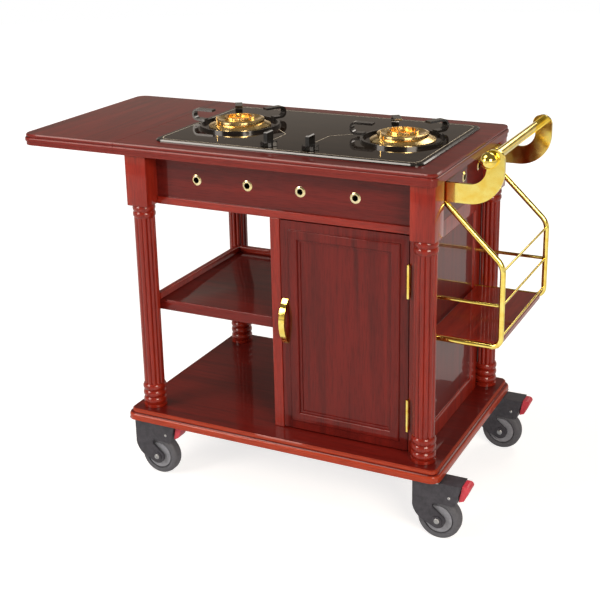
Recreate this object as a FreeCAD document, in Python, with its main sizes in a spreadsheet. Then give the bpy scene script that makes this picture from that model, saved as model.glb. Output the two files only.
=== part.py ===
"""Room service trolley with a two-burner gas hob, drop leaf, cupboard, bottle rack and castors.

Millimetres, +Z up. The origin lies on the floor under the middle of the trolley's box.
Drawing axes: x to the right seen from the door side, y away from the door side, z up,
with the middle of the carcass at x = 0. The last step of every placement moves x = 0
of the drawing to carcass_x of the part.
"""
import FreeCAD
import Part
import Sketcher

import math
import os

V = FreeCAD.Vector
UP = V(0, 0, 1)

# ---------------------------------------------------------------------------
# Driving sizes
# ---------------------------------------------------------------------------
SIZES = {
    # heights and boards
    "top_height": 840, "board_thick": 27, "castor_height": 148,
    "top_left": 403, "top_right": 385, "top_depth": 522, "top_corner": 18,
    "leaf_length": 264, "leaf_seam": 1, "leaf_corner": 26,
    "base_length": 810, "base_depth": 552, "base_corner": 24, "base_nose": 8, "base_step": 9,
    "edge_flat": 10, "edge_bead": 9, "edge_quirk": 2, "edge_inset": 2, "quirk_inset": 4, "bead_round": 4,
    "edge_bevel": 2.5,
    # corner posts
    "post_x": 352, "post_y": 222, "block_wide": 56, "block_high": 123, "block_bevel": 3,
    "ring_foot": 57, "ring_neck": 54, "foot_ring_high": 17.6, "neck_ring_high": 15, "ring_round": 13,
    "plinth_high": 8, "reed_circle": 38.4, "reed_round": 5.6, "core_wide": 34,
    # carcass
    "apron_front": 203, "apron_thick": 16, "side_thick": 16, "rail_high": 18, "rail_front": 208,
    "rail_deep": 22, "divider_x": 15, "divider_thick": 24, "panel_thick": 18, "stile_left": 310,
    "stile_turn": 20, "ring_gap": 0.3, "deck_thick": 12,
    # framed side panel
    "side_stile": 42, "side_rail": 44, "side_field": 8, "side_bevel": 4,
    # vents
    "vent_bore": 14, "vent_flange": 25, "vent_lip": 1.6, "vent_wall": 0.8, "vent_drop": 57,
    "front_vent_first": 108, "front_vent_pitch": 132.5, "side_vent_pitch": 108,
    # tray shelf
    "tray_top": 446, "tray_thick": 22, "tray_left": 347, "tray_back": 205, "gallery_high": 16,
    "gallery_thick": 14, "tray_lip": 4, "tray_lip_deep": 6,
    # door
    "door_gap": 1, "door_foot_gap": 3, "door_hinge_gap": 2, "door_face": 206, "door_thick": 18,
    "door_band": 20, "door_mould": 22, "door_rise": 4, "door_round": 3.4, "door_ovolo": 3.5,
    "door_field_drop": 4, "door_field_thick": 9, "door_bead": 6, "door_bead_rise": 2.5,
    "door_hinge_rise": 52, "door_hinge_drop": 140, "pull_rise": 212, "pull_length": 110,
    "pull_reach": 25, "pull_thick": 8, "pull_wide": 14, "pull_foot": 12,
    # butt hinges and the door catch
    "knuckle_wide": 8, "hinge_pin": 4, "hinge_length": 77, "hinge_plate": 0.9, "hinge_leaf": 20,
    "knuckle_gap": 0.4, "pin_fit": 0.06, "door_knuckle_lift": 0.5, "catch_length": 40,
    "catch_deep": 12, "catch_high": 14, "catch_gap": 0.3,
    # drop leaf hinges and stays
    "leaf_hinge_y": 150, "leaf_plate": 1.5, "leaf_hinge_leaf": 30, "stay_y": 70, "stay_thick": 2,
    "stay_wide": 14, "stay_gap": 0.4, "stay_leaf_reach": 118, "stay_leaf_drop": 13,
    "stay_post_out": 12, "stay_post_drop": 118, "stay_rivet": 5, "stay_rivet_fit": 0.06, "stay_tab": 10,
    # hob
    "hob_x": 4, "hob_y": 5, "hob_length": 660, "hob_depth": 412, "hob_corner": 25, "hob_rim": 7,
    "hob_rim_high": 5, "hob_rim_bevel": 3, "hob_glass": 5.6, "hob_cut_length": 600,
    "hob_cut_depth": 362, "tray_wall": 1.5, "tray_deep": 62, "tray_gap": 1, "glass_gap": 0.3,
    "burner_x": 210, "burner_y": 3, "burner_foot": 150, "burner_head": 118, "burner_bore": 96,
    "burner_gap": 0.5, "foot_lip": 3, "foot_high": 10, "head_side": 7, "head_lip": 2, "head_dish": 3,
    "head_floor": 6, "flame_ring": 60, "flame_wall": 6, "flame_high": 6, "burner_cap": 30,
    "cap_rise": 8, "port_wide": 2.4, "support_ring": 194, "support_bar": 6, "support_strip": 18,
    "claw_thick": 5, "claw_low": 4, "claw_high": 33, "claw_reach": 128, "claw_tip": 72, "claw_round": 13,
    "spark_round": 64, "spark_body": 6, "spark_body_high": 18, "spark_wire": 2.4, "spark_high": 30,
    # knobs and gas taps
    "knob_left": 42, "knob_right": 61, "knob_y": 173, "knob_wide": 40, "knob_skirt": 9,
    "knob_grip": 24, "knob_blade": 9, "knob_lift": 1, "knob_lobe": 5, "tap_shaft": 8, "tap_fit": 0.06,
    "tap_body": 20, "tap_drop": 2, "shaft_deep": 16, "shaft_up": 12,
    # push handle
    "bar_x": 474, "bar_z": 864, "bar_wide": 21, "bracket_y": 183, "bracket_thick": 8,
    "bracket_foot": 766, "bracket_arm": 42, "bracket_turn_x": 431, "bracket_round": 73.5,
    "bracket_inner": 36, "bracket_boss": 22, "ball_wide": 36, "ball_seat": 9,
    # bottle rack
    "tube_wide": 12.5, "rack_y": 172.4, "rack_top": 780, "rack_stub": 14, "rack_out": 505,
    "rack_bend": 634, "rack_foot": 450, "rack_top_round": 40, "rack_foot_round": 22, "rail_wide": 8,
    "rail_rise": 95, "cross_wide": 5, "cross_drop": 12, "cross_rise": 24, "rack_shelf": 12,
    # castors
    "castor_inset_x": 39, "castor_inset_y": 41, "castor_trail": 33, "axle_wide": 8, "axle_fit": 0.05,
    "wheel_wide": 100, "tread_wide": 30, "tread_round": 9, "disc_wide": 64, "disc_groove": 3,
    "groove_deep": 4, "disc_deep": 1.5, "well_gap": 3, "plate_long": 74, "plate_deep": 60,
    "plate_thick": 3, "plate_gap": 0.5, "king_wide": 16, "king_high": 7, "king_fit": 0.05, "fork_wall": 7,
    "fork_gap": 1.5, "fork_front": 26, "fork_waist": 81, "fork_shin_x": 8, "fork_shin_z": 42,
    "fork_shin_round": 48, "fork_hub": 18, "fork_throat_x": 26, "fork_throat_z": 78,
    "fork_throat_round": 9, "fork_eave": 94, "fork_heel": 74, "fork_brow": 87,
    "axle_head": 23, "axle_head_thick": 2.5, "pedal_heel": 80.5, "pedal_foot": 104, "pedal_toe": 92,
    "pedal_toe_high": 108.5, "pedal_out": 104.5, "pedal_out_high": 136, "pedal_round": 9, "pedal_gap": 1,
    "pedal_wide": 34, "pedal_thick": 12, "pedal_pin": 5, "pedal_pin_x": 60, "pedal_pin_z": 112,
    "tongue_room": 13,
}

doc = FreeCAD.newDocument("room_service_trolley")
sheet = doc.addObject("Spreadsheet::Sheet", "dims")
for row, (word, number) in enumerate(SIZES.items(), start=1):
    sheet.set("A%d" % row, word)
    sheet.set("B%d" % row, str(number))
    sheet.setAlias("B%d" % row, word)
doc.recompute()


class Size:
    """A length: the expression over the sheet that gives it, and its number."""

    def __init__(self, text, number):
        self.text = text
        self.number = float(number)

    def _join(self, other, sign, number):
        other_text = other.text if isinstance(other, Size) else repr(float(other))
        return Size("(%s %s %s)" % (self.text, sign, other_text), number)

    def __add__(self, other):
        return self._join(other, "+", self.number + num(other))

    def __sub__(self, other):
        return self._join(other, "-", self.number - num(other))

    def __mul__(self, other):
        return self._join(other, "*", self.number * num(other))

    def __truediv__(self, other):
        return self._join(other, "/", self.number / num(other))

    def __radd__(self, other):
        return self + other

    def __rsub__(self, other):
        return self * -1 + other

    def __rmul__(self, other):
        return self * other

    def __neg__(self):
        return self * -1

    def root(self):
        return Size("sqrt(%s)" % self.text, math.sqrt(self.number))


def num(size):
    return size.number if isinstance(size, Size) else float(size)


class Sheet:
    """Reads a driving size by its word, as in d.top_height."""

    def __getattr__(self, word):
        return Size("dims." + word, getattr(sheet, word))


d = Sheet()
ZERO = Size("0", 0)


def bind(thing, field, size):
    thing.setExpression(field, size.text if isinstance(size, Size) else repr(float(size)))


# ---------------------------------------------------------------------------
# Levels and planes that several pieces share
# ---------------------------------------------------------------------------
top_under = d.top_height - d.board_thick
base_top = d.castor_height + d.board_thick
block_foot = top_under - d.block_high
rail_top = block_foot + d.rail_high
block_in_x = d.post_x - d.block_wide / 2
block_in_y = d.post_y - d.block_wide / 2
side_out = block_in_x + d.side_thick
ring_reach_in = d.post_x - d.ring_foot / 2 - d.ring_gap
divider_right = d.divider_thick / 2 - d.divider_x
divider_left = divider_right - d.divider_thick
tube_reach = d.rack_out + d.tube_wide / 2
leaf_left = -d.top_left - d.leaf_seam - d.leaf_length
carcass_x = (-leaf_left - tube_reach) / 2
back_out = d.apron_front
back_in = d.apron_front - d.panel_thick
door_right = d.stile_left - d.door_hinge_gap
door_left = divider_right + d.door_gap
door_foot = base_top + d.door_foot_gap
door_head = block_foot - d.door_foot_gap
hinge_x = d.stile_left - d.door_hinge_gap / 2
hinge_y = -d.rail_front - d.knuckle_wide / 2 - d.door_knuckle_lift
burner_y = -d.hob_y - d.burner_y
hob_top = d.top_height + d.hob_glass
seam_x = -d.top_left - d.leaf_seam / 2
leaf_axis_z = top_under - d.knuckle_wide / 2
axle_z = d.wheel_wide / 2

NODES = []


def place(thing, x=ZERO, y=ZERO, z=ZERO):
    """Puts a piece at a point of the drawing."""
    bind(thing, "Placement.Base.x", x + carcass_x)
    bind(thing, "Placement.Base.y", y)
    bind(thing, "Placement.Base.z", z)


def keep(thing, label):
    """Names a finished sub-part."""
    thing.Label = label
    NODES.append(thing)
    return thing


# ---------------------------------------------------------------------------
# Part primitives
# ---------------------------------------------------------------------------
def box(name, low, high):
    """A board between two corners of the drawing."""
    piece = doc.addObject("Part::Box", name)
    for field, a, b in zip(("Length", "Width", "Height"), low, high):
        bind(piece, field, b - a)
    for axis, a in zip("xyz", low):
        bind(piece, "Placement.Base." + axis, a)
    return piece


def board(label, low, high):
    """A plain board that is a sub-part of its own."""
    piece = box(label, low, high)
    place(piece, *low)
    return keep(piece, label)


TURNS = {"x": FreeCAD.Rotation(V(0, 1, 0), 90), "y": FreeCAD.Rotation(V(1, 0, 0), -90), "z": FreeCAD.Rotation()}


def rod(name, axis, wide, start, length):
    """A cylinder along one drawing axis, from a start point."""
    piece = doc.addObject("Part::Cylinder", name)
    bind(piece, "Radius", wide / 2)
    bind(piece, "Height", length)
    piece.Placement = FreeCAD.Placement(V(), TURNS[axis])
    for letter, a in zip("xyz", start):
        bind(piece, "Placement.Base." + letter, a)
    return piece


def fuse(name, pieces):
    piece = doc.addObject("Part::MultiFuse", name)
    piece.Shapes = pieces
    return piece


def cut(name, base, tool):
    piece = doc.addObject("Part::Cut", name)
    piece.Base = base
    piece.Tool = tool
    return piece


def group(label, pieces):
    """Separate solids that share a node."""
    piece = doc.addObject("Part::Compound", label)
    piece.Links = pieces
    place(piece)
    return keep(piece, label)


def copy_at(name, source, x=ZERO, y=ZERO, z=ZERO, turn=None):
    """A linked copy of a piece, moved and perhaps turned."""
    link = doc.addObject("App::Link", name)
    link.LinkedObject = source
    if turn is not None:
        link.Placement = FreeCAD.Placement(V(), turn)
    bind(link, "Placement.Base.x", x)
    bind(link, "Placement.Base.y", y)
    bind(link, "Placement.Base.z", z)
    return link


# ---------------------------------------------------------------------------
# Bodies and sketches
# ---------------------------------------------------------------------------
def body(name):
    return doc.addObject("PartDesign::Body", name)


def sketch(owner, name, role="XY_Plane", lift=None):
    """A sketch on one of the body's own origin planes, lifted off it if asked."""
    drawn = owner.newObject("Sketcher::SketchObject", name)
    plane = [f for f in owner.Origin.OriginFeatures if f.Role == role][0]
    drawn.AttachmentSupport = (plane, [""])
    drawn.MapMode = "FlatFace"
    if lift is not None:
        bind(drawn, "AttachmentOffset.Base.z", lift)
    return drawn


def fix(drawn, kind, *args):
    """A dimension bound to the sheet; the last argument is its size."""
    size = args[-1]
    index = drawn.addConstraint(Sketcher.Constraint(kind, *args[:-1], num(size)))
    if isinstance(size, Size):
        bind(drawn, "Constraints[%d]" % index, size)


def pin_point(drawn, curve, end, x, y):
    fix(drawn, "DistanceX", -1, 1, curve, end, x)
    fix(drawn, "DistanceY", -1, 1, curve, end, y)


def circle(drawn, x, y, wide):
    curve = drawn.addGeometry(Part.Circle(V(num(x), num(y)), UP, num(wide) / 2), False)
    fix(drawn, "Radius", curve, wide / 2)
    pin_point(drawn, curve, 3, x, y)


def arc_between(a, b, radius):
    """The arc from a to b that turns left for a positive radius and right for a negative one."""
    chord = b - a
    half = chord.Length / 2
    side = V(-chord.y, chord.x).normalize() * (1 if radius > 0 else -1)
    middle = (a + b) * 0.5 + side * math.sqrt(max(radius * radius - half * half, 0))
    first, last = (a, b) if radius > 0 else (b, a)
    start = math.atan2(first.y - middle.y, first.x - middle.x)
    stop = math.atan2(last.y - middle.y, last.x - middle.x)
    return Part.ArcOfCircle(Part.Circle(middle, UP, abs(radius)), start, stop)


def outline(drawn, points):
    """A closed outline. A point is (x, y), or (x, y, radius) where an arc arrives at it."""
    curves = []
    for before, point in zip([points[-1]] + points[:-1], points):
        a = V(num(before[0]), num(before[1]))
        b = V(num(point[0]), num(point[1]))
        if len(point) == 3:
            radius = num(point[2])
            curve = drawn.addGeometry(arc_between(a, b, radius), False)
            ends = (1, 2) if radius > 0 else (2, 1)
            fix(drawn, "Radius", curve, point[2] if radius > 0 else -point[2])
        else:
            curve = drawn.addGeometry(Part.LineSegment(a, b), False)
            ends = (1, 2)
        curves.append((curve, ends))
        pin_point(drawn, curve, ends[1], point[0], point[1])
    for (curve, ends), (following, following_ends) in zip(curves, curves[1:] + curves[:1]):
        drawn.addConstraint(Sketcher.Constraint("Coincident", curve, ends[1], following, following_ends[0]))


def rectangle(drawn, x0, y0, x1, y1):
    outline(drawn, [(x0, y0), (x1, y0), (x1, y1), (x0, y1)])


def rounded(drawn, x0, y0, x1, y1, left=None, right=None):
    """A rectangle with its left and its right corners rounded where a radius is given."""
    points = []
    if left is None:
        points += [(x0, y1), (x0, y0)]
    else:
        points += [(x0 + left, y1), (x0, y1 - left, left), (x0, y0 + left), (x0 + left, y0, left)]
    if right is None:
        points += [(x1, y0), (x1, y1)]
    else:
        points += [(x1 - right, y0), (x1, y0 + right, right), (x1, y1 - right), (x1 - right, y1, right)]
    outline(drawn, points)


def pad(owner, drawn, length, back=False):
    made = owner.newObject("PartDesign::Pad", drawn.Name + "_pad")
    made.Profile = drawn
    bind(made, "Length", length)
    made.Reversed = back
    drawn.Visibility = False
    owner.Tip = made
    return made


def pocket(owner, drawn, length, back=False):
    """A pocket that must take material away."""
    doc.recompute()
    before = owner.Shape.Volume
    made = owner.newObject("PartDesign::Pocket", drawn.Name + "_pocket")
    made.Profile = drawn
    bind(made, "Length", length)
    made.Reversed = back
    owner.Tip = made
    doc.recompute()
    if not owner.Shape.Volume < before:
        raise RuntimeError(drawn.Name + " cuts nothing")
    return made


def revolve(owner, drawn, groove=False):
    """Turns a profile about the upright axis of its sketch."""
    kind = "PartDesign::Groove" if groove else "PartDesign::Revolution"
    made = owner.newObject(kind, drawn.Name + "_turned")
    made.Profile = drawn
    made.ReferenceAxis = (drawn, ["V_Axis"])
    made.Angle = 360
    owner.Tip = made
    return made


def edges_where(shape, test):
    """Names of the edges whose middle point passes a test."""
    names = []
    for index, edge in enumerate(shape.Edges, start=1):
        middle = edge.valueAt((edge.FirstParameter + edge.LastParameter) / 2)
        if test(middle, edge):
            names.append("Edge%d" % index)
    return names


def soften(owner, size, test, bevel=False):
    """Rounds or bevels the edges of a body's last feature that pass a test."""
    doc.recompute()
    before = owner.Tip
    names = edges_where(before.Shape, test)
    if not names:
        raise RuntimeError(owner.Name + " has no edge to soften")
    made = owner.newObject("PartDesign::Chamfer" if bevel else "PartDesign::Fillet", owner.Name + "_soft")
    made.Base = (before, names)
    bind(made, "Size" if bevel else "Radius", size)
    owner.Tip = made
    doc.recompute()
    return made


def level(z):
    """Edges that lie flat at one height of a body's own frame."""
    height = num(z)

    def test(middle, edge):
        box_of = edge.BoundBox
        return abs(box_of.ZMin - height) < 1e-3 and abs(box_of.ZMax - height) < 1e-3

    return test


# ---------------------------------------------------------------------------
# Boards with a moulded edge
# ---------------------------------------------------------------------------
def moulded_board(label, x0, x1, left, right):
    """A board of four layers: flat band, bead, quirk and bevelled cap.

    A side with a corner radius is moulded; a side without one is the flush face of the leaf seam.
    """
    piece = body(label)
    half = d.top_depth / 2
    cap = d.board_thick - d.edge_flat - d.edge_bead - d.edge_quirk
    foot = ZERO
    layers = (("flat", d.edge_flat, d.edge_inset), ("bead", d.edge_bead, ZERO),
              ("quirk", d.edge_quirk, d.quirk_inset), ("cap", cap, d.edge_inset))
    for name, high, inset in layers:
        low_x = x0 if left is None else x0 + inset
        high_x = x1 if right is None else x1 - inset
        drawn = sketch(piece, "%s_%s" % (label, name), lift=foot)
        rounded(drawn, low_x, inset - half, high_x, half - inset, left, right)
        pad(piece, drawn, high)
        foot = foot + high
        if name == "bead":
            soften(piece, d.bead_round, edge_band(x0, x1, left, right, foot))
    soften(piece, d.edge_bevel, edge_band(x0, x1, left, right, foot), bevel=True)
    return piece


def edge_band(x0, x1, left, right, z):
    """Edges of a layer's upper rim, without the rim of a flush side."""
    at_level = level(z)

    def test(middle, edge):
        flush_left = left is None and abs(middle.x - num(x0)) < 1e-3
        flush_right = right is None and abs(middle.x - num(x1)) < 1e-3
        return at_level(middle, edge) and not flush_left and not flush_right

    return test


top_board = moulded_board("top_board", -d.top_left, d.top_right, None, d.top_corner)
hob_hole = sketch(top_board, "hob_hole")
rectangle(hob_hole, d.hob_x - d.hob_cut_length / 2, -d.hob_y - d.hob_cut_depth / 2,
          d.hob_x + d.hob_cut_length / 2, d.hob_cut_depth / 2 - d.hob_y)
pocket(top_board, hob_hole, d.board_thick, back=True)
place(top_board, z=top_under)
keep(top_board, "top_board")

leaf_board = moulded_board("leaf_board", leaf_left, -d.top_left - d.leaf_seam, d.leaf_corner, None)
place(leaf_board, z=top_under)
keep(leaf_board, "leaf_board")

base_board = body("base_board")
base_low = sketch(base_board, "base_low")
rounded(base_low, -d.base_length / 2, -d.base_depth / 2, d.base_length / 2, d.base_depth / 2,
        d.base_corner, d.base_corner)
pad(base_board, base_low, d.board_thick - d.base_step)
soften(base_board, d.base_nose, level(d.board_thick - d.base_step))
base_high = sketch(base_board, "base_high", lift=d.board_thick - d.base_step)
rounded(base_high, d.base_nose - d.base_length / 2, d.base_nose - d.base_depth / 2,
        d.base_length / 2 - d.base_nose, d.base_depth / 2 - d.base_nose,
        d.base_corner - d.base_nose, d.base_corner - d.base_nose)
pad(base_board, base_high, d.base_step)
soften(base_board, d.edge_bevel, level(d.board_thick), bevel=True)
place(base_board, z=d.castor_height)
keep(base_board, "base_board")


# ---------------------------------------------------------------------------
# Turned and reeded corner posts
# ---------------------------------------------------------------------------
REEDS = 12

post = body("post")
post_top = top_under - base_top
foot_top = d.plinth_high + 3 * d.foot_ring_high
neck_top = post_top - d.block_high
neck_foot = neck_top - 2 * d.neck_ring_high


def groove_radius(wide, high):
    """Radius in the groove between two ring beads of the round ring_round."""
    half_squared = d.ring_round * d.ring_round - high * high / 4
    return wide / 2 - d.ring_round + half_squared.root()


turned = sketch(post, "turned", "XZ_Plane")
profile = [(ZERO, ZERO), (d.ring_foot / 2, ZERO), (d.ring_foot / 2, d.plinth_high)]
foot_groove = groove_radius(d.ring_foot, d.foot_ring_high)
profile.append((foot_groove, d.plinth_high))
for ring in range(1, 4):
    profile.append((foot_groove, d.plinth_high + ring * d.foot_ring_high, d.ring_round))
profile += [(d.core_wide / 2, foot_top), (d.core_wide / 2, neck_foot)]
neck_groove = groove_radius(d.ring_neck, d.neck_ring_high)
profile.append((neck_groove, neck_foot))
for ring in range(1, 3):
    profile.append((neck_groove, neck_foot + ring * d.neck_ring_high, d.ring_round))
profile.append((ZERO, neck_top))
outline(turned, profile)
revolve(post, turned)

reeds = sketch(post, "reeds", lift=foot_top)
reed_points = []
for reed in range(REEDS):
    angle = 2 * math.pi * reed / REEDS
    reed_points.append((d.reed_circle / 2 * math.cos(angle), d.reed_circle / 2 * math.sin(angle), d.reed_round))
outline(reeds, reed_points)
pad(post, reeds, neck_foot - foot_top)

block = sketch(post, "block", lift=neck_top)
rectangle(block, -d.block_wide / 2, -d.block_wide / 2, d.block_wide / 2, d.block_wide / 2)
pad(post, block, d.block_high)


def block_rim(middle, edge):
    return level(neck_top)(middle, edge) and max(abs(middle.x), abs(middle.y)) > num(d.block_wide) / 2 - 1e-3


soften(post, d.block_bevel, block_rim, bevel=True)

CORNERS = (("front_left", -1, -1), ("front_right", 1, -1), ("back_left", -1, 1), ("back_right", 1, 1))
group("corner_posts", [copy_at("post_" + name, post, sx * d.post_x, sy * d.post_y, base_top)
                       for name, sx, sy in CORNERS])


# ---------------------------------------------------------------------------
# Aprons, rails and vents
# ---------------------------------------------------------------------------
VENTS = 4
vent_z = top_under - d.vent_drop
vent_hole = d.vent_bore + 2 * d.vent_wall

front_apron = body("front_apron")
front_face = sketch(front_apron, "front_apron_face", "XZ_Plane")
rectangle(front_face, -block_in_x, rail_top, block_in_x, top_under)
pad(front_apron, front_face, d.apron_thick)
front_hole = sketch(front_apron, "front_vent", "XZ_Plane")
circle(front_hole, d.front_vent_first - block_in_x, vent_z, vent_hole)
pocket(front_apron, front_hole, d.apron_thick, back=True)
row = front_apron.newObject("PartDesign::LinearPattern", "front_vent_row")
row.Originals = [front_apron.Tip]
row.Direction = (front_hole, ["H_Axis"])
bind(row, "Length", d.front_vent_pitch * (VENTS - 1))
row.Occurrences = VENTS
front_apron.Tip = row
place(front_apron, y=d.apron_thick - d.apron_front)
keep(front_apron, "front_apron")

side_apron = body("right_apron")
side_face = sketch(side_apron, "right_apron_face", "YZ_Plane")
rectangle(side_face, -block_in_y, block_foot, block_in_y, top_under)
pad(side_apron, side_face, d.side_thick)
side_hole = sketch(side_apron, "side_vent", "YZ_Plane")
circle(side_hole, -d.side_vent_pitch * (VENTS - 1) / 2, vent_z, vent_hole)
pocket(side_apron, side_hole, d.side_thick, back=True)
row = side_apron.newObject("PartDesign::LinearPattern", "side_vent_row")
row.Originals = [side_apron.Tip]
row.Direction = (side_hole, ["H_Axis"])
bind(row, "Length", d.side_vent_pitch * (VENTS - 1))
row.Occurrences = VENTS
side_apron.Tip = row
place(side_apron, block_in_x)
keep(side_apron, "right_apron")

board("left_apron", (-side_out, -block_in_y, block_foot), (-block_in_x, block_in_y, top_under))
board("back_apron", (-block_in_x, back_out - d.apron_thick, block_foot), (block_in_x, back_out, top_under))
board("front_rail", (-block_in_x, -d.rail_front, block_foot),
      (block_in_x, d.rail_deep - d.rail_front, rail_top))

eyelet = body("eyelet")
eyelet_turn = sketch(eyelet, "eyelet_turn", "XZ_Plane")
outline(eyelet_turn, [(d.vent_bore / 2, d.vent_lip), (d.vent_bore / 2, -d.side_thick),
                      (vent_hole / 2, -d.side_thick), (vent_hole / 2, ZERO), (d.vent_flange / 2, ZERO),
                      (d.vent_flange / 2 - d.vent_lip * 2, d.vent_lip)])
revolve(eyelet, eyelet_turn)


TO_FRONT = FreeCAD.Rotation(V(1, 0, 0), 90)
TO_BACK = FreeCAD.Rotation(V(1, 0, 0), -90)
TO_RIGHT = FreeCAD.Rotation(V(0, 1, 0), 90)
eyelets = []
for place_in_row in range(VENTS):
    along_x = d.front_vent_first - block_in_x + place_in_row * d.front_vent_pitch
    eyelets.append(copy_at("eyelet_front_%d" % place_in_row, eyelet, along_x, -d.apron_front, vent_z, TO_FRONT))
    along_y = (place_in_row - (VENTS - 1) / 2) * d.side_vent_pitch
    eyelets.append(copy_at("eyelet_side_%d" % place_in_row, eyelet, side_out, along_y, vent_z, TO_RIGHT))
group("vent_eyelets", eyelets)


# ---------------------------------------------------------------------------
# Cupboard carcass
# ---------------------------------------------------------------------------
deck_top = block_foot + d.deck_thick
board("cupboard_divider", (divider_left, -d.rail_front, base_top), (divider_right, back_out, block_foot))
board("cupboard_back", (divider_right, back_in, base_top), (block_in_x - d.ring_gap, back_out, block_foot))
board("hob_deck", (-block_in_x, d.rail_deep - d.rail_front, block_foot),
      (block_in_x, back_out - d.apron_thick, deck_top))

stile = body("corner_stile")
stile_plan = sketch(stile, "stile_plan")
stile_neck_y = -block_in_y
outline(stile_plan, [
    (d.stile_left, -d.rail_front), (ring_reach_in, -d.rail_front), (ring_reach_in, stile_neck_y),
    (side_out, stile_neck_y), (side_out, stile_neck_y + d.stile_turn),
    (d.stile_left, stile_neck_y + d.stile_turn)])
pad(stile, stile_plan, block_foot - base_top)
place(stile, z=base_top)
keep(stile, "corner_stile")


def framed_field(owner, name, wide, high, stile_wide, rail_high, thick):
    """A frame with a window, drawn upright with its face towards -y and its lower left corner at 0."""
    drawn = sketch(owner, name + "_frame", "XZ_Plane")
    rectangle(drawn, ZERO, ZERO, wide, high)
    rectangle(drawn, stile_wide, rail_high, wide - stile_wide, high - rail_high)
    pad(owner, drawn, thick)


side_y0 = stile_neck_y + d.stile_turn
side_wide = back_in - side_y0
side_high = block_foot - base_top
side_frame = body("side_frame")
framed_field(side_frame, "side", side_wide, side_high, d.side_stile, d.side_rail, d.side_thick)


def side_window(middle, edge):
    inside_x = num(d.side_stile) - 1e-3 < middle.x < num(side_wide - d.side_stile) + 1e-3
    inside_z = num(d.side_rail) - 1e-3 < middle.z < num(side_high - d.side_rail) + 1e-3
    return abs(middle.y + num(d.side_thick)) < 1e-3 and inside_x and inside_z


soften(side_frame, d.side_bevel, side_window, bevel=True)
side_frame.Placement = FreeCAD.Placement(V(), FreeCAD.Rotation(UP, 90))
place(side_frame, block_in_x, side_y0, base_top)
keep(side_frame, "side_frame")
board("side_field", (side_out - d.side_bevel - d.side_field, side_y0 + d.side_stile, base_top + d.side_rail),
      (side_out - d.side_bevel, back_in - d.side_stile, block_foot - d.side_rail))


# ---------------------------------------------------------------------------
# Tray shelf in the open bay
# ---------------------------------------------------------------------------
def notch_for_posts(owner, name, z_low, high):
    """Rounds a shelf's corners out of the way of the two left columns."""
    drawn = sketch(owner, name, lift=z_low)
    for y in (-d.post_y, d.post_y):
        circle(drawn, -d.post_x, y, 2 * reed_reach + 2 * d.ring_gap)
    pocket(owner, drawn, high, back=True)


reed_chord = d.reed_circle / 2 * math.sin(math.pi / REEDS)
reed_reach = (d.reed_circle / 2 * math.cos(math.pi / REEDS) + d.reed_round
              - (d.reed_round * d.reed_round - reed_chord * reed_chord).root())

tray = body("tray_shelf")
tray_plan = sketch(tray, "tray_plan")
rectangle(tray_plan, -d.tray_left, -d.rail_front, divider_left, d.tray_back)
pad(tray, tray_plan, d.tray_thick)
lip_plan = sketch(tray, "tray_lip_plan", lift=d.tray_thick)
lip_left = d.reed_circle - d.post_x
rectangle(lip_plan, lip_left, -d.rail_front, divider_left, d.tray_lip_deep - d.rail_front)
pad(tray, lip_plan, d.tray_lip)
notch_for_posts(tray, "tray_notches", ZERO, d.tray_thick + d.tray_lip)
place(tray, z=d.tray_top - d.tray_thick)
keep(tray, "tray_shelf")

gallery = body("tray_gallery")
gallery_plan = sketch(gallery, "gallery_plan")
outline(gallery_plan, [
    (-d.tray_left, reed_reach - d.post_y), (d.gallery_thick - d.tray_left, reed_reach - d.post_y),
    (d.gallery_thick - d.tray_left, d.tray_back - d.gallery_thick),
    (divider_left, d.tray_back - d.gallery_thick),
    (divider_left, d.tray_back), (-d.tray_left, d.tray_back)])
pad(gallery, gallery_plan, d.gallery_high)
notch_for_posts(gallery, "gallery_notches", ZERO, d.gallery_high)
place(gallery, z=d.tray_top)
keep(gallery, "tray_gallery")


# ---------------------------------------------------------------------------
# Door
# ---------------------------------------------------------------------------
door_wide = door_right - door_left
door_high = door_head - door_foot
door_edge = d.door_band + d.door_mould
door = body("door_frame")
framed_field(door, "door", door_wide, door_high, door_edge, door_edge, d.door_thick)
mould = sketch(door, "door_mould", "XZ_Plane", lift=d.door_thick)
rectangle(mould, d.door_band, d.door_band, door_wide - d.door_band, door_high - d.door_band)
rectangle(mould, door_edge, door_edge, door_wide - door_edge, door_high - door_edge)
pad(door, mould, d.door_rise)
door_front = d.door_thick + d.door_rise


def mould_edge(inner):
    def test(middle, edge):
        border = num(door_edge) if inner else num(d.door_band)
        off_x = min(abs(middle.x - border), abs(middle.x - num(door_wide) + border))
        off_z = min(abs(middle.z - border), abs(middle.z - num(door_high) + border))
        return abs(middle.y + num(door_front)) < 1e-3 and min(off_x, off_z) < 1e-3
    return test


soften(door, d.door_round, mould_edge(False))
soften(door, d.door_ovolo, mould_edge(True))
place(door, door_left, d.door_thick - d.door_face, door_foot)
keep(door, "door_frame")

field = body("door_panel")
field_wide = door_wide - door_edge * 2
field_high = door_high - door_edge * 2
field_plan = sketch(field, "field_plan", "XZ_Plane")
rectangle(field_plan, ZERO, ZERO, field_wide, field_high)
pad(field, field_plan, d.door_field_thick)
bead_plan = sketch(field, "field_bead", "XZ_Plane", lift=d.door_field_thick)
rectangle(bead_plan, ZERO, ZERO, field_wide, field_high)
rectangle(bead_plan, d.door_bead, d.door_bead, field_wide - d.door_bead, field_high - d.door_bead)
pad(field, bead_plan, d.door_bead_rise)
place(field, door_left + door_edge, d.door_field_thick + d.door_field_drop - d.door_face, door_foot + door_edge)
keep(field, "door_panel")

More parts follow.
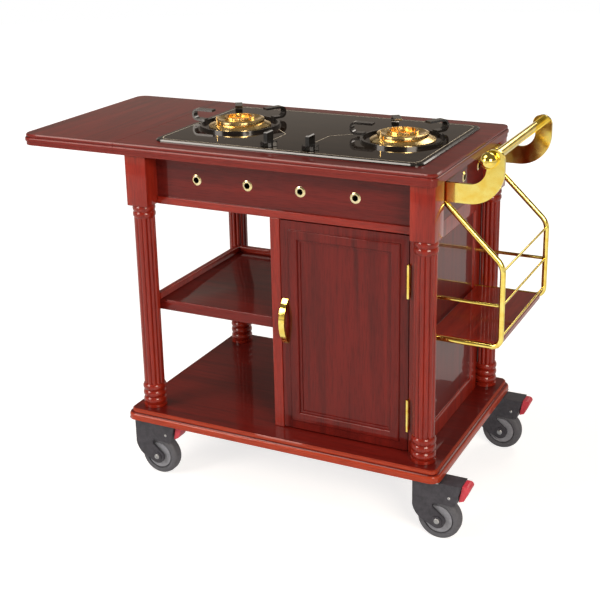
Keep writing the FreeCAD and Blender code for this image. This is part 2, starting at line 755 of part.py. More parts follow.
pull = body("door_pull")
pull_side = sketch(pull, "pull_side", "YZ_Plane")
pull_seat = -d.door_face
pull_span = d.pull_length / 2
bow_out = (pull_span * pull_span + d.pull_reach * d.pull_reach) / (2 * d.pull_reach)
inner_reach = d.pull_reach - d.pull_thick
inner_span = pull_span - d.pull_foot
bow_in = (inner_span * inner_span + inner_reach * inner_reach) / (2 * inner_reach)
outline(pull_side, [
    (pull_seat, -pull_span, bow_out), (pull_seat, -inner_span), (pull_seat, inner_span, -bow_in),
    (pull_seat, pull_span)])
pad(pull, pull_side, d.pull_wide)
place(pull, door_left + (d.door_band - d.pull_wide) / 2, ZERO, door_foot + d.pull_rise + pull_span)
keep(pull, "door_pull")


# ---------------------------------------------------------------------------
# Butt hinges: three knuckles about an axis along the piece's own z
# ---------------------------------------------------------------------------
def hinge_leaf(name, knuckles, tab, plate):
    """One hinge leaf. tab and plate are its plan at a knuckle of its own and at one of its mate's."""
    third = d.hinge_length / 3
    trim = d.knuckle_gap / 2
    solids = [box(name + "_plate", (plate[0], plate[1], ZERO), (plate[2], plate[3], d.hinge_length))]
    for index in knuckles:
        foot = third * index + trim
        head = third * (index + 1) - trim
        solids.append(rod("%s_barrel_%d" % (name, index), "z", d.knuckle_wide, (ZERO, ZERO, foot), head - foot))
        solids.append(box("%s_tab_%d" % (name, index), (tab[0], tab[1], foot), (tab[2], tab[3], head)))
    whole = fuse(name + "_whole", solids)
    bore = rod(name + "_bore", "z", d.hinge_pin + 2 * d.pin_fit, (ZERO, ZERO, -trim),
               d.hinge_length + d.knuckle_gap)
    return cut(name, whole, bore)


hinge_pin = rod("hinge_pin", "z", d.hinge_pin, (ZERO, ZERO, ZERO), d.hinge_length)
pins = []


def hinge_set(word, sources, places, rotation=None):
    """Copies the two leaves and the pin of a hinge to every place; equal leaves share a node."""
    for label, source in sources:
        group(label, [copy_at("%s_%d" % (label, index), source, x, y, z, rotation)
                      for index, (x, y, z) in enumerate(places)])
    pins.extend([copy_at("%s_pin_%d" % (word, index), hinge_pin, x, y, z, rotation)
                 for index, (x, y, z) in enumerate(places)])


knuckle_clear = d.knuckle_wide / 2 + d.knuckle_gap
plate_in = d.door_hinge_gap / 2 - d.hinge_plate
plate_out = d.door_hinge_gap / 2
door_fixed = hinge_leaf("stile_leaf", (0, 2), (plate_in, ZERO, plate_out, d.hinge_leaf),
                        (plate_in, knuckle_clear, plate_out, d.hinge_leaf))
door_moving = hinge_leaf("door_leaf", (1,), (-plate_out, ZERO, -plate_in, d.hinge_leaf),
                         (-plate_out, knuckle_clear, -plate_in, d.hinge_leaf))
hinge_set("door", (("door_hinge_stile_leaves", door_fixed), ("door_hinge_door_leaves", door_moving)),
          [(hinge_x, hinge_y, z) for z in (door_foot + d.door_hinge_rise, door_head - d.door_hinge_drop)])

catch_y = d.door_thick + d.catch_gap - d.door_face
board("door_catch", (divider_right, catch_y, block_foot - d.catch_high),
      (divider_right + d.catch_length, catch_y + d.catch_deep, block_foot))

plate_top = d.knuckle_wide / 2
plate_low = plate_top - d.leaf_plate
top_fixed = hinge_leaf("top_leaf", (0, 2), (ZERO, plate_low, d.leaf_hinge_leaf, plate_top),
                       (knuckle_clear, plate_low, d.leaf_hinge_leaf, plate_top))
leaf_moving = hinge_leaf("drop_leaf", (1,), (-d.leaf_hinge_leaf, plate_low, ZERO, plate_top),
                         (-d.leaf_hinge_leaf, plate_low, -knuckle_clear, plate_top))
hinge_set("leaf", (("leaf_hinge_top_leaves", top_fixed), ("leaf_hinge_drop_leaves", leaf_moving)),
          [(seam_x, side * d.leaf_hinge_y + d.hinge_length / 2, leaf_axis_z) for side in (-1, 1)], TO_FRONT)
group("hinge_pins", pins)


# ---------------------------------------------------------------------------
# Folding stays of the drop leaf: two links that lie in line while the leaf is up
# ---------------------------------------------------------------------------
stay_half = d.stay_wide / 2
stay_step = d.stay_thick + d.stay_gap
stay_a_x = seam_x - d.stay_leaf_reach
stay_a_z = top_under - d.stay_leaf_drop
stay_b_x = -side_out - d.stay_post_out
stay_b_z = leaf_axis_z - d.stay_post_drop
stay_run = stay_b_x - stay_a_x
stay_fall = stay_a_z - stay_b_z
stay_link = (stay_run * stay_run + stay_fall * stay_fall).root() / 2
stay_slope = math.degrees(math.atan2(num(stay_fall), num(stay_run)))
STAY_TURN = FreeCAD.Rotation(V(0, 1, 0), stay_slope)


def stay_plate(name, bored_at):
    """A flat link from 0 to stay_link along x, bored for the rivet at one end."""
    ends = [rod("%s_end_%d" % (name, k), "y", d.stay_wide, (stay_link * k, ZERO, ZERO), d.stay_thick)
            for k in range(2)]
    middle = box(name + "_middle", (ZERO, ZERO, -stay_half), (stay_link, d.stay_thick, stay_half))
    bore = rod(name + "_bore", "y", d.stay_rivet + 2 * d.stay_rivet_fit, (bored_at, -d.stay_thick, ZERO),
               3 * d.stay_thick)
    return cut(name, fuse(name + "_whole", ends + [middle]), bore)


def layer_low(side, layer, thick):
    """Lowest y of a layer of a stay, counted from the leaf's tab outwards."""
    near = d.stay_y + stay_step * layer
    return near if side > 0 else -near - thick


upper_link = stay_plate("upper_link", ZERO)
lower_link = stay_plate("lower_link", stay_link)
middle_x = (stay_a_x + stay_b_x) / 2
middle_z = (stay_a_z + stay_b_z) / 2
upper_links = []
lower_links = []
leaf_tabs = []
post_tabs = []
for side in (-1, 1):
    tag = "front" if side < 0 else "back"
    upper_links.append(copy_at("upper_link_" + tag, upper_link, stay_a_x, layer_low(side, 1, d.stay_thick),
                               stay_a_z, STAY_TURN))
    lower_links.append(copy_at("lower_link_" + tag, lower_link, middle_x, layer_low(side, 2, d.stay_thick),
                               middle_z, STAY_TURN))
    rivet_long = d.stay_thick + stay_step
    tab_y = layer_low(side, 0, d.stay_thick)
    foot_y = tab_y - d.stay_tab if side > 0 else tab_y + d.stay_thick
    leaf_tabs.append(fuse("leaf_tab_" + tag, [
        rod("leaf_tab_eye_" + tag, "y", d.stay_wide, (stay_a_x, tab_y, stay_a_z), d.stay_thick),
        box("leaf_tab_plate_" + tag, (stay_a_x - stay_half, tab_y, stay_a_z),
            (stay_a_x + stay_half, tab_y + d.stay_thick, top_under)),
        box("leaf_tab_foot_" + tag, (stay_a_x - d.stay_wide, foot_y, top_under - d.stay_thick),
            (stay_a_x + d.stay_wide, foot_y + d.stay_tab, top_under)),
        rod("leaf_tab_rivet_" + tag, "y", d.stay_rivet, (stay_a_x, layer_low(side, 0, rivet_long), stay_a_z),
            rivet_long)]))
    tab_y = layer_low(side, 3, d.stay_thick)
    foot_y = tab_y + d.stay_thick if side > 0 else tab_y - d.stay_tab
    post_tabs.append(fuse("post_tab_" + tag, [
        rod("post_tab_eye_" + tag, "y", d.stay_wide, (stay_b_x, tab_y, stay_b_z), d.stay_thick),
        box("post_tab_plate_" + tag, (stay_b_x, tab_y, stay_b_z - stay_half),
            (-side_out, tab_y + d.stay_thick, stay_b_z + stay_half)),
        box("post_tab_foot_" + tag, (-side_out - d.stay_thick, foot_y, stay_b_z - stay_half),
            (-side_out, foot_y + d.stay_tab, stay_b_z + d.stay_wide * 2)),
        rod("post_tab_rivet_" + tag, "y", d.stay_rivet, (stay_b_x, layer_low(side, 2, rivet_long), stay_b_z),
            rivet_long)]))
group("stay_upper_links", upper_links)
group("stay_lower_links", lower_links)
group("stay_leaf_tabs", leaf_tabs)
group("stay_apron_brackets", post_tabs)


# ---------------------------------------------------------------------------
# Gas hob
# ---------------------------------------------------------------------------
rim_in = d.hob_rim + d.glass_gap
glass_long = d.hob_length - 2 * rim_in
glass_deep = d.hob_depth - 2 * rim_in
burner_places = [(d.hob_x + side * d.burner_x, burner_y) for side in (-1, 1)]
knob_places = [("left", -d.knob_left, -d.knob_y), ("right", d.knob_right, -d.knob_y)]


def hob_plate(drawn, long, deep, corner):
    rounded(drawn, d.hob_x - long / 2, -d.hob_y - deep / 2, d.hob_x + long / 2, deep / 2 - d.hob_y,
            corner, corner)


rim = body("hob_rim")
rim_plan = sketch(rim, "rim_plan")
hob_plate(rim_plan, d.hob_length, d.hob_depth, d.hob_corner)
hob_plate(rim_plan, d.hob_length - 2 * d.hob_rim, d.hob_depth - 2 * d.hob_rim, d.hob_corner - d.hob_rim)
pad(rim, rim_plan, d.hob_rim_high)


def outer_rim(middle, edge):
    off_x = abs(abs(middle.x - num(d.hob_x)) - num(d.hob_length) / 2)
    off_y = abs(abs(middle.y + num(d.hob_y)) - num(d.hob_depth) / 2)
    return level(d.hob_rim_high)(middle, edge) and min(off_x, off_y) < num(d.hob_rim) - 1e-3


soften(rim, d.hob_rim_bevel, outer_rim, bevel=True)
place(rim, z=d.top_height)
keep(rim, "hob_rim")

glass = body("hob_glass")
glass_plan = sketch(glass, "glass_plan")
hob_plate(glass_plan, glass_long, glass_deep, d.hob_corner - rim_in)
for x, y in burner_places:
    circle(glass_plan, x, y, d.burner_bore + 2 * d.burner_gap)
for _, x, y in knob_places:
    circle(glass_plan, x, y, d.tap_shaft + 2 * d.knob_lift)
pad(glass, glass_plan, d.hob_glass)
place(glass, z=d.top_height)
keep(glass, "hob_glass")

burner_box = body("burner_box")
box_long = d.hob_cut_length - 2 * d.tray_gap
box_wide = d.hob_cut_depth - 2 * d.tray_gap
box_plan = sketch(burner_box, "burner_box_plan")
rectangle(box_plan, d.hob_x - box_long / 2, -d.hob_y - box_wide / 2, d.hob_x + box_long / 2,
          box_wide / 2 - d.hob_y)
pad(burner_box, box_plan, d.tray_deep)
box_inside = sketch(burner_box, "burner_box_inside", lift=d.tray_deep)
rectangle(box_inside, d.hob_x - box_long / 2 + d.tray_wall, d.tray_wall - d.hob_y - box_wide / 2,
          d.hob_x + box_long / 2 - d.tray_wall, box_wide / 2 - d.hob_y - d.tray_wall)
pocket(burner_box, box_inside, d.tray_deep - d.tray_wall)
place(burner_box, z=d.top_height - d.tray_deep)
keep(burner_box, "burner_box")

BURNER_PORTS = 16
CLAW_ANGLES = (60, 120, 180)
SPARK_ANGLE = math.radians(240)

foot = body("burner_foot_ring")
foot_turn = sketch(foot, "burner_foot_turn", "XZ_Plane")
outline(foot_turn, [(d.burner_bore / 2, ZERO), (d.burner_foot / 2, ZERO), (d.burner_foot / 2, d.foot_lip),
                    (d.burner_head / 2 - d.burner_gap, d.foot_high), (d.burner_bore / 2, d.foot_high)])
revolve(foot, foot_turn)
spark_x = d.spark_round * math.cos(SPARK_ANGLE)
spark_y = d.spark_round * math.sin(SPARK_ANGLE)
for word, wide, high in (("body", d.spark_body, d.spark_body_high), ("wire", d.spark_wire, d.spark_high)):
    spark = sketch(foot, "spark_" + word, lift=d.foot_lip)
    circle(spark, spark_x, spark_y, wide)
    pad(foot, spark, high - d.foot_lip)
group("burner_feet", [copy_at("burner_foot_%d" % k, foot, x, y, hob_top)
                      for k, (x, y) in enumerate(burner_places)])

head = body("burner_head_ring")
head_turn = sketch(head, "burner_head_turn", "XZ_Plane")
flame_out = d.flame_ring / 2 + d.flame_wall
head_top = d.foot_high + d.head_side
outline(head_turn, [
    (d.burner_cap / 2 - d.flame_wall, -d.hob_glass), (d.burner_bore / 2 - d.burner_gap, -d.hob_glass),
    (d.burner_bore / 2 - d.burner_gap, d.foot_high), (d.burner_head / 2, d.foot_high),
    (d.burner_head / 2, head_top), (d.burner_head / 2 - d.flame_wall, head_top + d.head_lip),
    (flame_out, head_top - d.head_dish), (flame_out, head_top + d.flame_high),
    (d.flame_ring / 2, head_top + d.flame_high), (d.flame_ring / 2, d.head_floor),
    (d.burner_cap / 2 - d.flame_wall, d.head_floor)])
revolve(head, head_turn)
port = sketch(head, "burner_port", lift=head_top + d.flame_high)
rectangle(port, d.flame_ring / 2 - d.flame_wall / 2, -d.port_wide / 2, flame_out + d.flame_wall / 2,
          d.port_wide / 2)
port_cut = pocket(head, port, d.flame_high)
ports = head.newObject("PartDesign::PolarPattern", "burner_ports")
ports.Originals = [port_cut]
ports.Axis = (port, ["N_Axis"])
ports.Angle = 360
ports.Occurrences = BURNER_PORTS
head.Tip = ports

cap = body("burner_cap")
cap_turn = sketch(cap, "burner_cap_turn", "XZ_Plane")
outline(cap_turn, [(ZERO, ZERO), (d.burner_cap / 2, ZERO), (d.burner_cap / 2, d.cap_rise / 2),
                   (d.burner_cap / 4, d.cap_rise), (ZERO, d.cap_rise)])
revolve(cap, cap_turn)
group("burner_heads",
      [copy_at("burner_head_%d" % k, head, x, y, hob_top) for k, (x, y) in enumerate(burner_places)]
      + [copy_at("burner_cap_%d" % k, cap, x, y, hob_top + d.head_floor)
         for k, (x, y) in enumerate(burner_places)])

support = body("pan_support")
ring_plan = sketch(support, "support_ring_plan")
circle(ring_plan, ZERO, ZERO, d.support_ring)
circle(ring_plan, ZERO, ZERO, d.support_ring - 2 * d.support_bar)
pad(support, ring_plan, d.support_bar)
claw_foot = d.support_ring / 2 - d.support_bar / 2
claw_turn = d.claw_reach - d.claw_round
claw_inside = d.claw_reach - d.claw_thick
claw_bend = d.claw_round - d.claw_thick
claw_side = sketch(support, "claw_side", "XZ_Plane")
outline(claw_side, [
    (claw_foot, d.claw_low), (claw_turn, d.claw_low),
    (d.claw_reach, d.claw_low + d.claw_round, d.claw_round), (d.claw_reach, d.claw_high - d.claw_round),
    (claw_turn, d.claw_high, d.claw_round), (d.claw_tip, d.claw_high),
    (d.claw_tip, d.claw_high - d.claw_thick), (claw_turn, d.claw_high - d.claw_thick),
    (claw_inside, d.claw_high - d.claw_round, -claw_bend), (claw_inside, d.claw_low + d.claw_round),
    (claw_turn, d.claw_low + d.claw_thick, -claw_bend), (claw_foot, d.claw_low + d.claw_thick)])
claw = pad(support, claw_side, d.support_strip)
claw.Midplane = True
claws = support.newObject("PartDesign::PolarPattern", "claws")
claws.Originals = [claw]
claws.Axis = (ring_plan, ["N_Axis"])
claws.Angle = CLAW_ANGLES[-1] - CLAW_ANGLES[0]
claws.Occurrences = len(CLAW_ANGLES)
support.Tip = claws
for word, (x, y) in zip(("left", "right"), burner_places):
    group("pan_support_" + word, [copy_at("pan_support_copy_" + word, support, x, y, hob_top,
                                          FreeCAD.Rotation(UP, CLAW_ANGLES[0]))])


# ---------------------------------------------------------------------------
# Gas taps and knobs
# ---------------------------------------------------------------------------
STAR_POINTS = 8
tap_top = d.tray_deep - d.tray_wall - d.tap_drop
tap = body("gas_tap")
tap_plan = sketch(tap, "tap_plan")
rectangle(tap_plan, -d.tap_body / 2, -d.tap_body / 2, d.tap_body / 2, d.tap_body / 2)
pad(tap, tap_plan, tap_top)
tap_bore = sketch(tap, "tap_bore", lift=tap_top)
circle(tap_bore, ZERO, ZERO, d.tap_shaft + 2 * d.tap_fit)
pocket(tap, tap_bore, d.shaft_deep)
tap_foot = d.top_height - d.tray_deep + d.tray_wall
group("gas_taps", [copy_at("gas_tap_" + word, tap, x, y, tap_foot) for word, x, y in knob_places])

knob = body("knob")
star = sketch(knob, "knob_star")
star_points = []
for point in range(2 * STAR_POINTS):
    radius = d.knob_wide / 2 if point % 2 == 0 else d.knob_wide / 2 - d.knob_lobe
    angle = math.pi * point / STAR_POINTS
    star_points.append((radius * math.cos(angle), radius * math.sin(angle)))
outline(star, star_points)
pad(knob, star, d.knob_skirt)
blade = sketch(knob, "knob_blade", lift=d.knob_skirt)
blade_reach = d.knob_wide / 2 - d.knob_lobe
rectangle(blade, -d.knob_blade / 2, -blade_reach, d.knob_blade / 2, blade_reach)
pad(knob, blade, d.knob_grip)
soften(knob, d.knob_blade / 4, level(d.knob_skirt + d.knob_grip), bevel=True)
knob_bore = sketch(knob, "knob_bore")
circle(knob_bore, ZERO, ZERO, d.tap_shaft + 2 * d.tap_fit)
pocket(knob, knob_bore, d.shaft_up, back=True)
spindle_foot = tap_foot + tap_top - d.shaft_deep + d.knob_lift
spindle_long = hob_top + d.knob_lift + d.shaft_up - spindle_foot
for word, x, y in knob_places:
    group("knob_" + word, [
        copy_at("knob_copy_" + word, knob, x, y, hob_top + d.knob_lift),
        rod("spindle_" + word, "z", d.tap_shaft, (x, y, spindle_foot), spindle_long)])


# ---------------------------------------------------------------------------
# Push handle
# ---------------------------------------------------------------------------
bracket_in = d.bracket_y - d.bracket_thick / 2
bracket_out = d.bracket_y + d.bracket_thick / 2
arm_top = d.bracket_foot + d.bracket_arm
turn_out = d.bracket_turn_x + d.bracket_round
turn_in = d.bracket_turn_x + d.bracket_inner
bracket = body("handle_bracket")
band = sketch(bracket, "bracket_band", "XZ_Plane")
outline(band, [
    (side_out, d.bracket_foot), (d.bracket_turn_x, d.bracket_foot),
    (turn_out, d.bracket_foot + d.bracket_round, d.bracket_round), (turn_out, d.bar_z), (turn_in, d.bar_z),
    (turn_in, arm_top + d.bracket_inner), (d.bracket_turn_x, arm_top, -d.bracket_inner), (side_out, arm_top)])
pad(bracket, band, d.bracket_thick)
boss = sketch(bracket, "bracket_boss", "XZ_Plane")
circle(boss, turn_out - d.bracket_boss, d.bar_z, 2 * d.bracket_boss)
pad(bracket, boss, d.bracket_thick)
group("handle_brackets", [copy_at("bracket_front", bracket, ZERO, -bracket_in, ZERO),
                          copy_at("bracket_back", bracket, ZERO, bracket_out, ZERO)])
bar = rod("bar", "y", d.bar_wide, (d.bar_x, -bracket_in, d.bar_z), 2 * bracket_in)
ball = body("handle_ball")
ball_turn = sketch(ball, "ball_turn", "XZ_Plane")
ball_flat = (d.ball_wide * d.ball_wide / 4 - d.ball_seat * d.ball_seat).root()
outline(ball_turn, [(ZERO, ZERO), (ball_flat, ZERO), (ZERO, d.ball_seat + d.ball_wide / 2, d.ball_wide / 2)])
revolve(ball, ball_turn)
group("handle_bar", [bar, copy_at("ball_front", ball, d.bar_x, -bracket_out, d.bar_z, TO_FRONT),
                     copy_at("ball_back", ball, d.bar_x, bracket_out, d.bar_z, TO_BACK)])


# ---------------------------------------------------------------------------
# Bottle rack of bent tube
# ---------------------------------------------------------------------------
def bent_tube(corners, radii, wide):
    """A solid rod swept along straight runs joined by tangent arcs."""
    edges = []
    start = corners[0]
    for before, corner, after, radius in zip(corners, corners[1:], corners[2:], radii):
        into = (corner - before).normalize()
        out_of = (after - corner).normalize()
        reach = radius * math.tan(into.getAngle(out_of) / 2)
        first = corner - into * reach
        last = corner + out_of * reach
        toward = (out_of - into).normalize()
        centre_far = math.hypot(radius, reach)
        middle = corner + toward * (centre_far - radius)
        edges.append(Part.LineSegment(start, first).toShape())
        edges.append(Part.Arc(first, middle, last).toShape())
        start = last
    edges.append(Part.LineSegment(start, corners[-1]).toShape())
    path = Part.Wire(edges)
    ring = Part.Wire(Part.Circle(corners[0], (corners[1] - corners[0]).normalize(), wide / 2).toShape())
    return path.makePipeShell([ring], True, False)


def xz(x, z):
    return V(num(x), 0, num(z))


frame_path = [xz(side_out, d.rack_top), xz(side_out + d.rack_stub, d.rack_top), xz(d.rack_out, d.rack_bend),
              xz(d.rack_out, d.rack_foot), xz(side_out, d.rack_foot)]
frame_radii = [num(d.rack_stub), num(d.rack_top_round), num(d.rack_foot_round)]
frame_tube = bent_tube(frame_path, frame_radii, num(d.tube_wide))
tube_half = d.tube_wide / 2
rack_in = d.rack_y - tube_half
for word, side in (("front", -1), ("back", 1)):
    tube = doc.addObject("Part::Feature", "rack_tube_" + word)
    tube.Shape = frame_tube
    place(tube, y=side * d.rack_y)
    keep(tube, "rack_frame_" + word)

rail_z = d.rack_foot + d.rail_rise
rail_long = d.rack_out - tube_half - side_out
rails = [rod("rack_rail_%d" % k, "x", d.rail_wide, (side_out, side * d.rack_y, rail_z), rail_long)
         for k, side in enumerate((-1, 1))]
cross_levels = (d.rack_bend - d.cross_drop, rail_z, d.rack_foot + d.cross_rise)
cross_rods = [rod("rack_cross_%d" % k, "y", d.cross_wide, (d.rack_out, -rack_in, z), 2 * rack_in)
              for k, z in enumerate(cross_levels)]
group("rack_rods", rails + cross_rods)
board("rack_shelf", (side_out, d.ring_gap - rack_in, d.rack_foot - d.rack_shelf / 2),
      (d.rack_out - tube_half - d.ring_gap, rack_in - d.ring_gap, d.rack_foot + d.rack_shelf / 2))


# ---------------------------------------------------------------------------
# Castors
# ---------------------------------------------------------------------------
castor_x = d.base_length / 2 - d.castor_inset_x
castor_y = d.base_depth / 2 - d.castor_inset_y
CASTORS = [(name, sx * castor_x, sy * castor_y) for name, sx, sy in CORNERS]
plate_low = d.castor_height - d.plate_thick
fork_top = plate_low - d.plate_gap
fork_half = d.tread_wide / 2 + d.fork_gap + d.fork_wall

plate = body("castor_plate")
plate_plan = sketch(plate, "castor_plate_plan", lift=plate_low)
rectangle(plate_plan, -d.plate_long / 2, -d.plate_deep / 2, d.plate_long / 2, d.plate_deep / 2)
pad(plate, plate_plan, d.plate_thick)
king = sketch(plate, "king_pin", lift=plate_low)
circle(king, ZERO, ZERO, d.king_wide)
pad(plate, king, d.king_high, back=True)
group("castor_plates", [copy_at("castor_plate_" + name, plate, x, y) for name, x, y in CASTORS])

wheel = body("castor_wheel")
wheel_turn = sketch(wheel, "wheel_turn", "XZ_Plane")
tread_half = d.tread_wide / 2
wheel_round = d.wheel_wide / 2
axle_bore = d.axle_wide / 2 + d.axle_fit
disc_round = d.disc_wide / 2
disc_face = tread_half - d.disc_deep
groove_floor = tread_half - d.groove_deep
TREAD_STEPS = 3


def wheel_side(side):
    """Half of the wheel's section, from the bore over the disc and groove to the tread's widest ring."""
    points = [(axle_bore, side * disc_face), (disc_round, side * disc_face), (disc_round, side * groove_floor),
              (disc_round + d.disc_groove, side * groove_floor), (disc_round + d.disc_groove, side * tread_half)]
    for step in range(TREAD_STEPS + 1):
        angle = math.pi / 2 * step / TREAD_STEPS
        in_by = d.tread_round * (1 - math.sin(angle))
        down_by = d.tread_round * (1 - math.cos(angle))
        points.append((wheel_round - in_by, side * (tread_half - down_by)))
    return points


outline(wheel_turn, wheel_side(-1) + wheel_side(1)[::-1])
revolve(wheel, wheel_turn)

fork = body("castor_fork")
fork_side = sketch(fork, "fork_side", "XZ_Plane")
hub_low = math.radians(240)
hub_high = math.radians(30)
outline(fork_side, [
    (-d.fork_front, fork_top), (-d.fork_front, d.fork_waist), (d.fork_shin_x, d.fork_shin_z, d.fork_shin_round),
    (d.castor_trail + d.fork_hub * math.cos(hub_low), axle_z + d.fork_hub * math.sin(hub_low)),
    (d.castor_trail + d.fork_hub * math.cos(hub_high), axle_z + d.fork_hub * math.sin(hub_high), d.fork_hub),
    (d.fork_throat_x, d.fork_throat_z), (d.fork_throat_x, d.fork_eave, -d.fork_throat_round),
    (d.fork_heel, d.fork_eave), (d.fork_brow, fork_top)])
fork_pad = pad(fork, fork_side, 2 * fork_half)
fork_pad.Midplane = True
well = sketch(fork, "wheel_well", "XZ_Plane")
circle(well, d.castor_trail, axle_z, d.wheel_wide + 2 * d.well_gap)
well_cut = fork.newObject("PartDesign::Pocket", "wheel_well_pocket")
well_cut.Profile = well
bind(well_cut, "Length", d.tread_wide + 2 * d.fork_gap)
well_cut.Midplane = True
fork.Tip = well_cut
slot = sketch(fork, "tongue_slot", "XZ_Plane")
rectangle(slot, d.pedal_pin_x - d.tongue_room, d.pedal_pin_z - d.tongue_room, d.fork_brow,
          d.pedal_pin_z + d.tongue_room)
slot_cut = fork.newObject("PartDesign::Pocket", "tongue_slot_pocket")
slot_cut.Profile = slot
bind(slot_cut, "Length", d.pedal_thick + 2 * d.fork_gap)
slot_cut.Midplane = True
fork.Tip = slot_cut
king_hole = sketch(fork, "king_hole", lift=fork_top)
circle(king_hole, ZERO, ZERO, d.king_wide + 2 * d.king_fit)
pocket(fork, king_hole, d.king_high)
for word, wide, x, z in (("axle", d.axle_wide, d.castor_trail, axle_z),
                         ("pedal_pin", d.pedal_pin, d.pedal_pin_x, d.pedal_pin_z)):
    pin = sketch(fork, "fork_" + word, "XZ_Plane")
    circle(pin, x, z, wide)
    pin_pad = pad(fork, pin, 2 * fork_half)
    pin_pad.Midplane = True
for word, back in (("near", False), ("far", True)):
    cap_side = sketch(fork, "axle_head_" + word, "XZ_Plane", lift=fork_half * (-1 if back else 1))
    circle(cap_side, d.castor_trail, axle_z, d.axle_head)
    pad(fork, cap_side, d.axle_head_thick, back=back)

pedal = body("brake_pedal")
pedal_side = sketch(pedal, "pedal_side", "XZ_Plane")
pedal_back = d.fork_brow + d.pedal_gap
outline(pedal_side, [
    (d.pedal_heel, d.pedal_foot), (d.pedal_toe, d.pedal_toe_high), (d.pedal_out, d.pedal_out_high),
    (d.pedal_out - d.pedal_round, fork_top, d.pedal_round), (pedal_back, fork_top)])
pedal_pad = pad(pedal, pedal_side, d.pedal_wide)
pedal_pad.Midplane = True
tongue = sketch(pedal, "pedal_tongue", "XZ_Plane")
tongue_half = d.pedal_pin
rectangle(tongue, d.pedal_pin_x - tongue_half, d.pedal_pin_z - tongue_half, pedal_back,
          d.pedal_pin_z + tongue_half)
tongue_pad = pad(pedal, tongue, d.pedal_thick)
tongue_pad.Midplane = True
pedal_bore = sketch(pedal, "pedal_bore", "XZ_Plane")
circle(pedal_bore, d.pedal_pin_x, d.pedal_pin_z, d.pedal_pin + 2 * d.axle_fit)
bore_cut = pedal.newObject("PartDesign::Pocket", "pedal_bore_pocket")
bore_cut.Profile = pedal_bore
bind(bore_cut, "Length", d.pedal_wide)
bore_cut.Midplane = True
pedal.Tip = bore_cut

for name, x, y in CASTORS:
    group("castor_fork_" + name, [copy_at("fork_copy_" + name, fork, x, y)])
    group("castor_wheel_" + name,
          [copy_at("wheel_copy_" + name, wheel, x + d.castor_trail, y, axle_z, TO_FRONT)])
    group("castor_pedal_" + name, [copy_at("pedal_copy_" + name, pedal, x, y)])


# ---------------------------------------------------------------------------
# Checks and files
# ---------------------------------------------------------------------------
def export():
    """Checks every object and writes one file per sub-part."""
    doc.recompute()
    for thing in doc.Objects:
        if "Invalid" in thing.State or "Error" in thing.State:
            raise RuntimeError("%s is %s" % (thing.Name, thing.State))
    for piece in NODES:
        shape = piece.Shape
        if shape.isNull() or not shape.isValid() or not shape.Solids:
            raise RuntimeError(piece.Label + " has no sound shape")
    os.makedirs("parts", exist_ok=True)
    for piece in NODES:
        piece.Shape.exportStep("parts/%s.step" % piece.Label)


export()
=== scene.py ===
"""Looks of a room service trolley with a two-burner gas hob.

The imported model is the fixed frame. This script gives its nodes their finishes, adds the
small hardware and the finer forms round them, and sets up a plain studio. Sizes in the
classes are millimetres of the drawing, whose x = 0 is the middle of the carcass.
"""
import logging
import math
from abc import ABC, abstractmethod
from collections.abc import Iterable, Sequence
from dataclasses import dataclass, field
from enum import Enum
from typing import Any

import bmesh
import bpy
from bmesh.types import BMesh, BMVert
from bpy.types import Material, Mesh, Node, NodeSocket, NodeTree, Object
from mathutils import Matrix, Vector


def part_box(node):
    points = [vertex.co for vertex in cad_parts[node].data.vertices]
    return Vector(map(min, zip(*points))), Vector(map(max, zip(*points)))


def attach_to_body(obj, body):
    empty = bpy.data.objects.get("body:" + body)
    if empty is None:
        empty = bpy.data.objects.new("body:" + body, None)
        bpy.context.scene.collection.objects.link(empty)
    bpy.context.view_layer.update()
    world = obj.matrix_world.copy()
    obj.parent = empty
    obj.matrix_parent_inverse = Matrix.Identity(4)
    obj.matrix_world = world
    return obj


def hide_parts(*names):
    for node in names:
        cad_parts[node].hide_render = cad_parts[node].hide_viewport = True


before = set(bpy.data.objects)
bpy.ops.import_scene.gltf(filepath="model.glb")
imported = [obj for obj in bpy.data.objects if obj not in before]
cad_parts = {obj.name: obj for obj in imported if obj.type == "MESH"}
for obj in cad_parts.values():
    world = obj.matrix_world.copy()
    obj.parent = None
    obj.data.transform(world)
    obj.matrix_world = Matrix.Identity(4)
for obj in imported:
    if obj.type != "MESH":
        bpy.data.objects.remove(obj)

LOG = logging.getLogger("trolley")
MM = 0.001
CARCASS_X = 78.375
SMOOTH_ANGLE = 35.0
FLAT_ANGLE = 0.5
EDGE_ANGLE = 38
WELD = 2e-6
RESIN_IOR = 1.5
POLYMER_IOR = 1.49
GLASS_IOR = 1.52

Point = tuple[float, float, float]


class GrainAxis(Enum):
    """The way the grain of a wooden piece runs."""

    ALONG_X = 0
    ALONG_Y = 1
    ALONG_Z = 2


class Slot(str, Enum):
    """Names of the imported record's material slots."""

    MAHOGANY = "mahogany"
    BRASS = "brass"
    ENAMEL = "black_enamel"
    GLASS = "hob_glass"
    STEEL = "steel"
    CASTOR = "castor_paint"
    PEDAL = "pedal_red"


# Small helpers
def at(x: float, y: float, z: float) -> Vector:
    """Turns a point of the drawing, in millimetres, into a point of the frame, in metres."""
    return Vector(((x + CARCASS_X) * MM, y * MM, z * MM))


def linear(hex_colour: str, alpha: float = 1.0) -> tuple[float, float, float, float]:
    """Turns an sRGB hex colour into the linear values that sockets take.

    Args:
        hex_colour: Six hex digits after a hash sign.
        alpha: Opacity of the colour.

    Returns:
        Linear red, green, blue and alpha.
    """
    shares = [int(hex_colour[k:k + 2], 16) / 255 for k in (1, 3, 5)]
    red, green, blue = [s / 12.92 if s <= 0.04045 else ((s + 0.055) / 1.055) ** 2.4 for s in shares]
    return red, green, blue, alpha


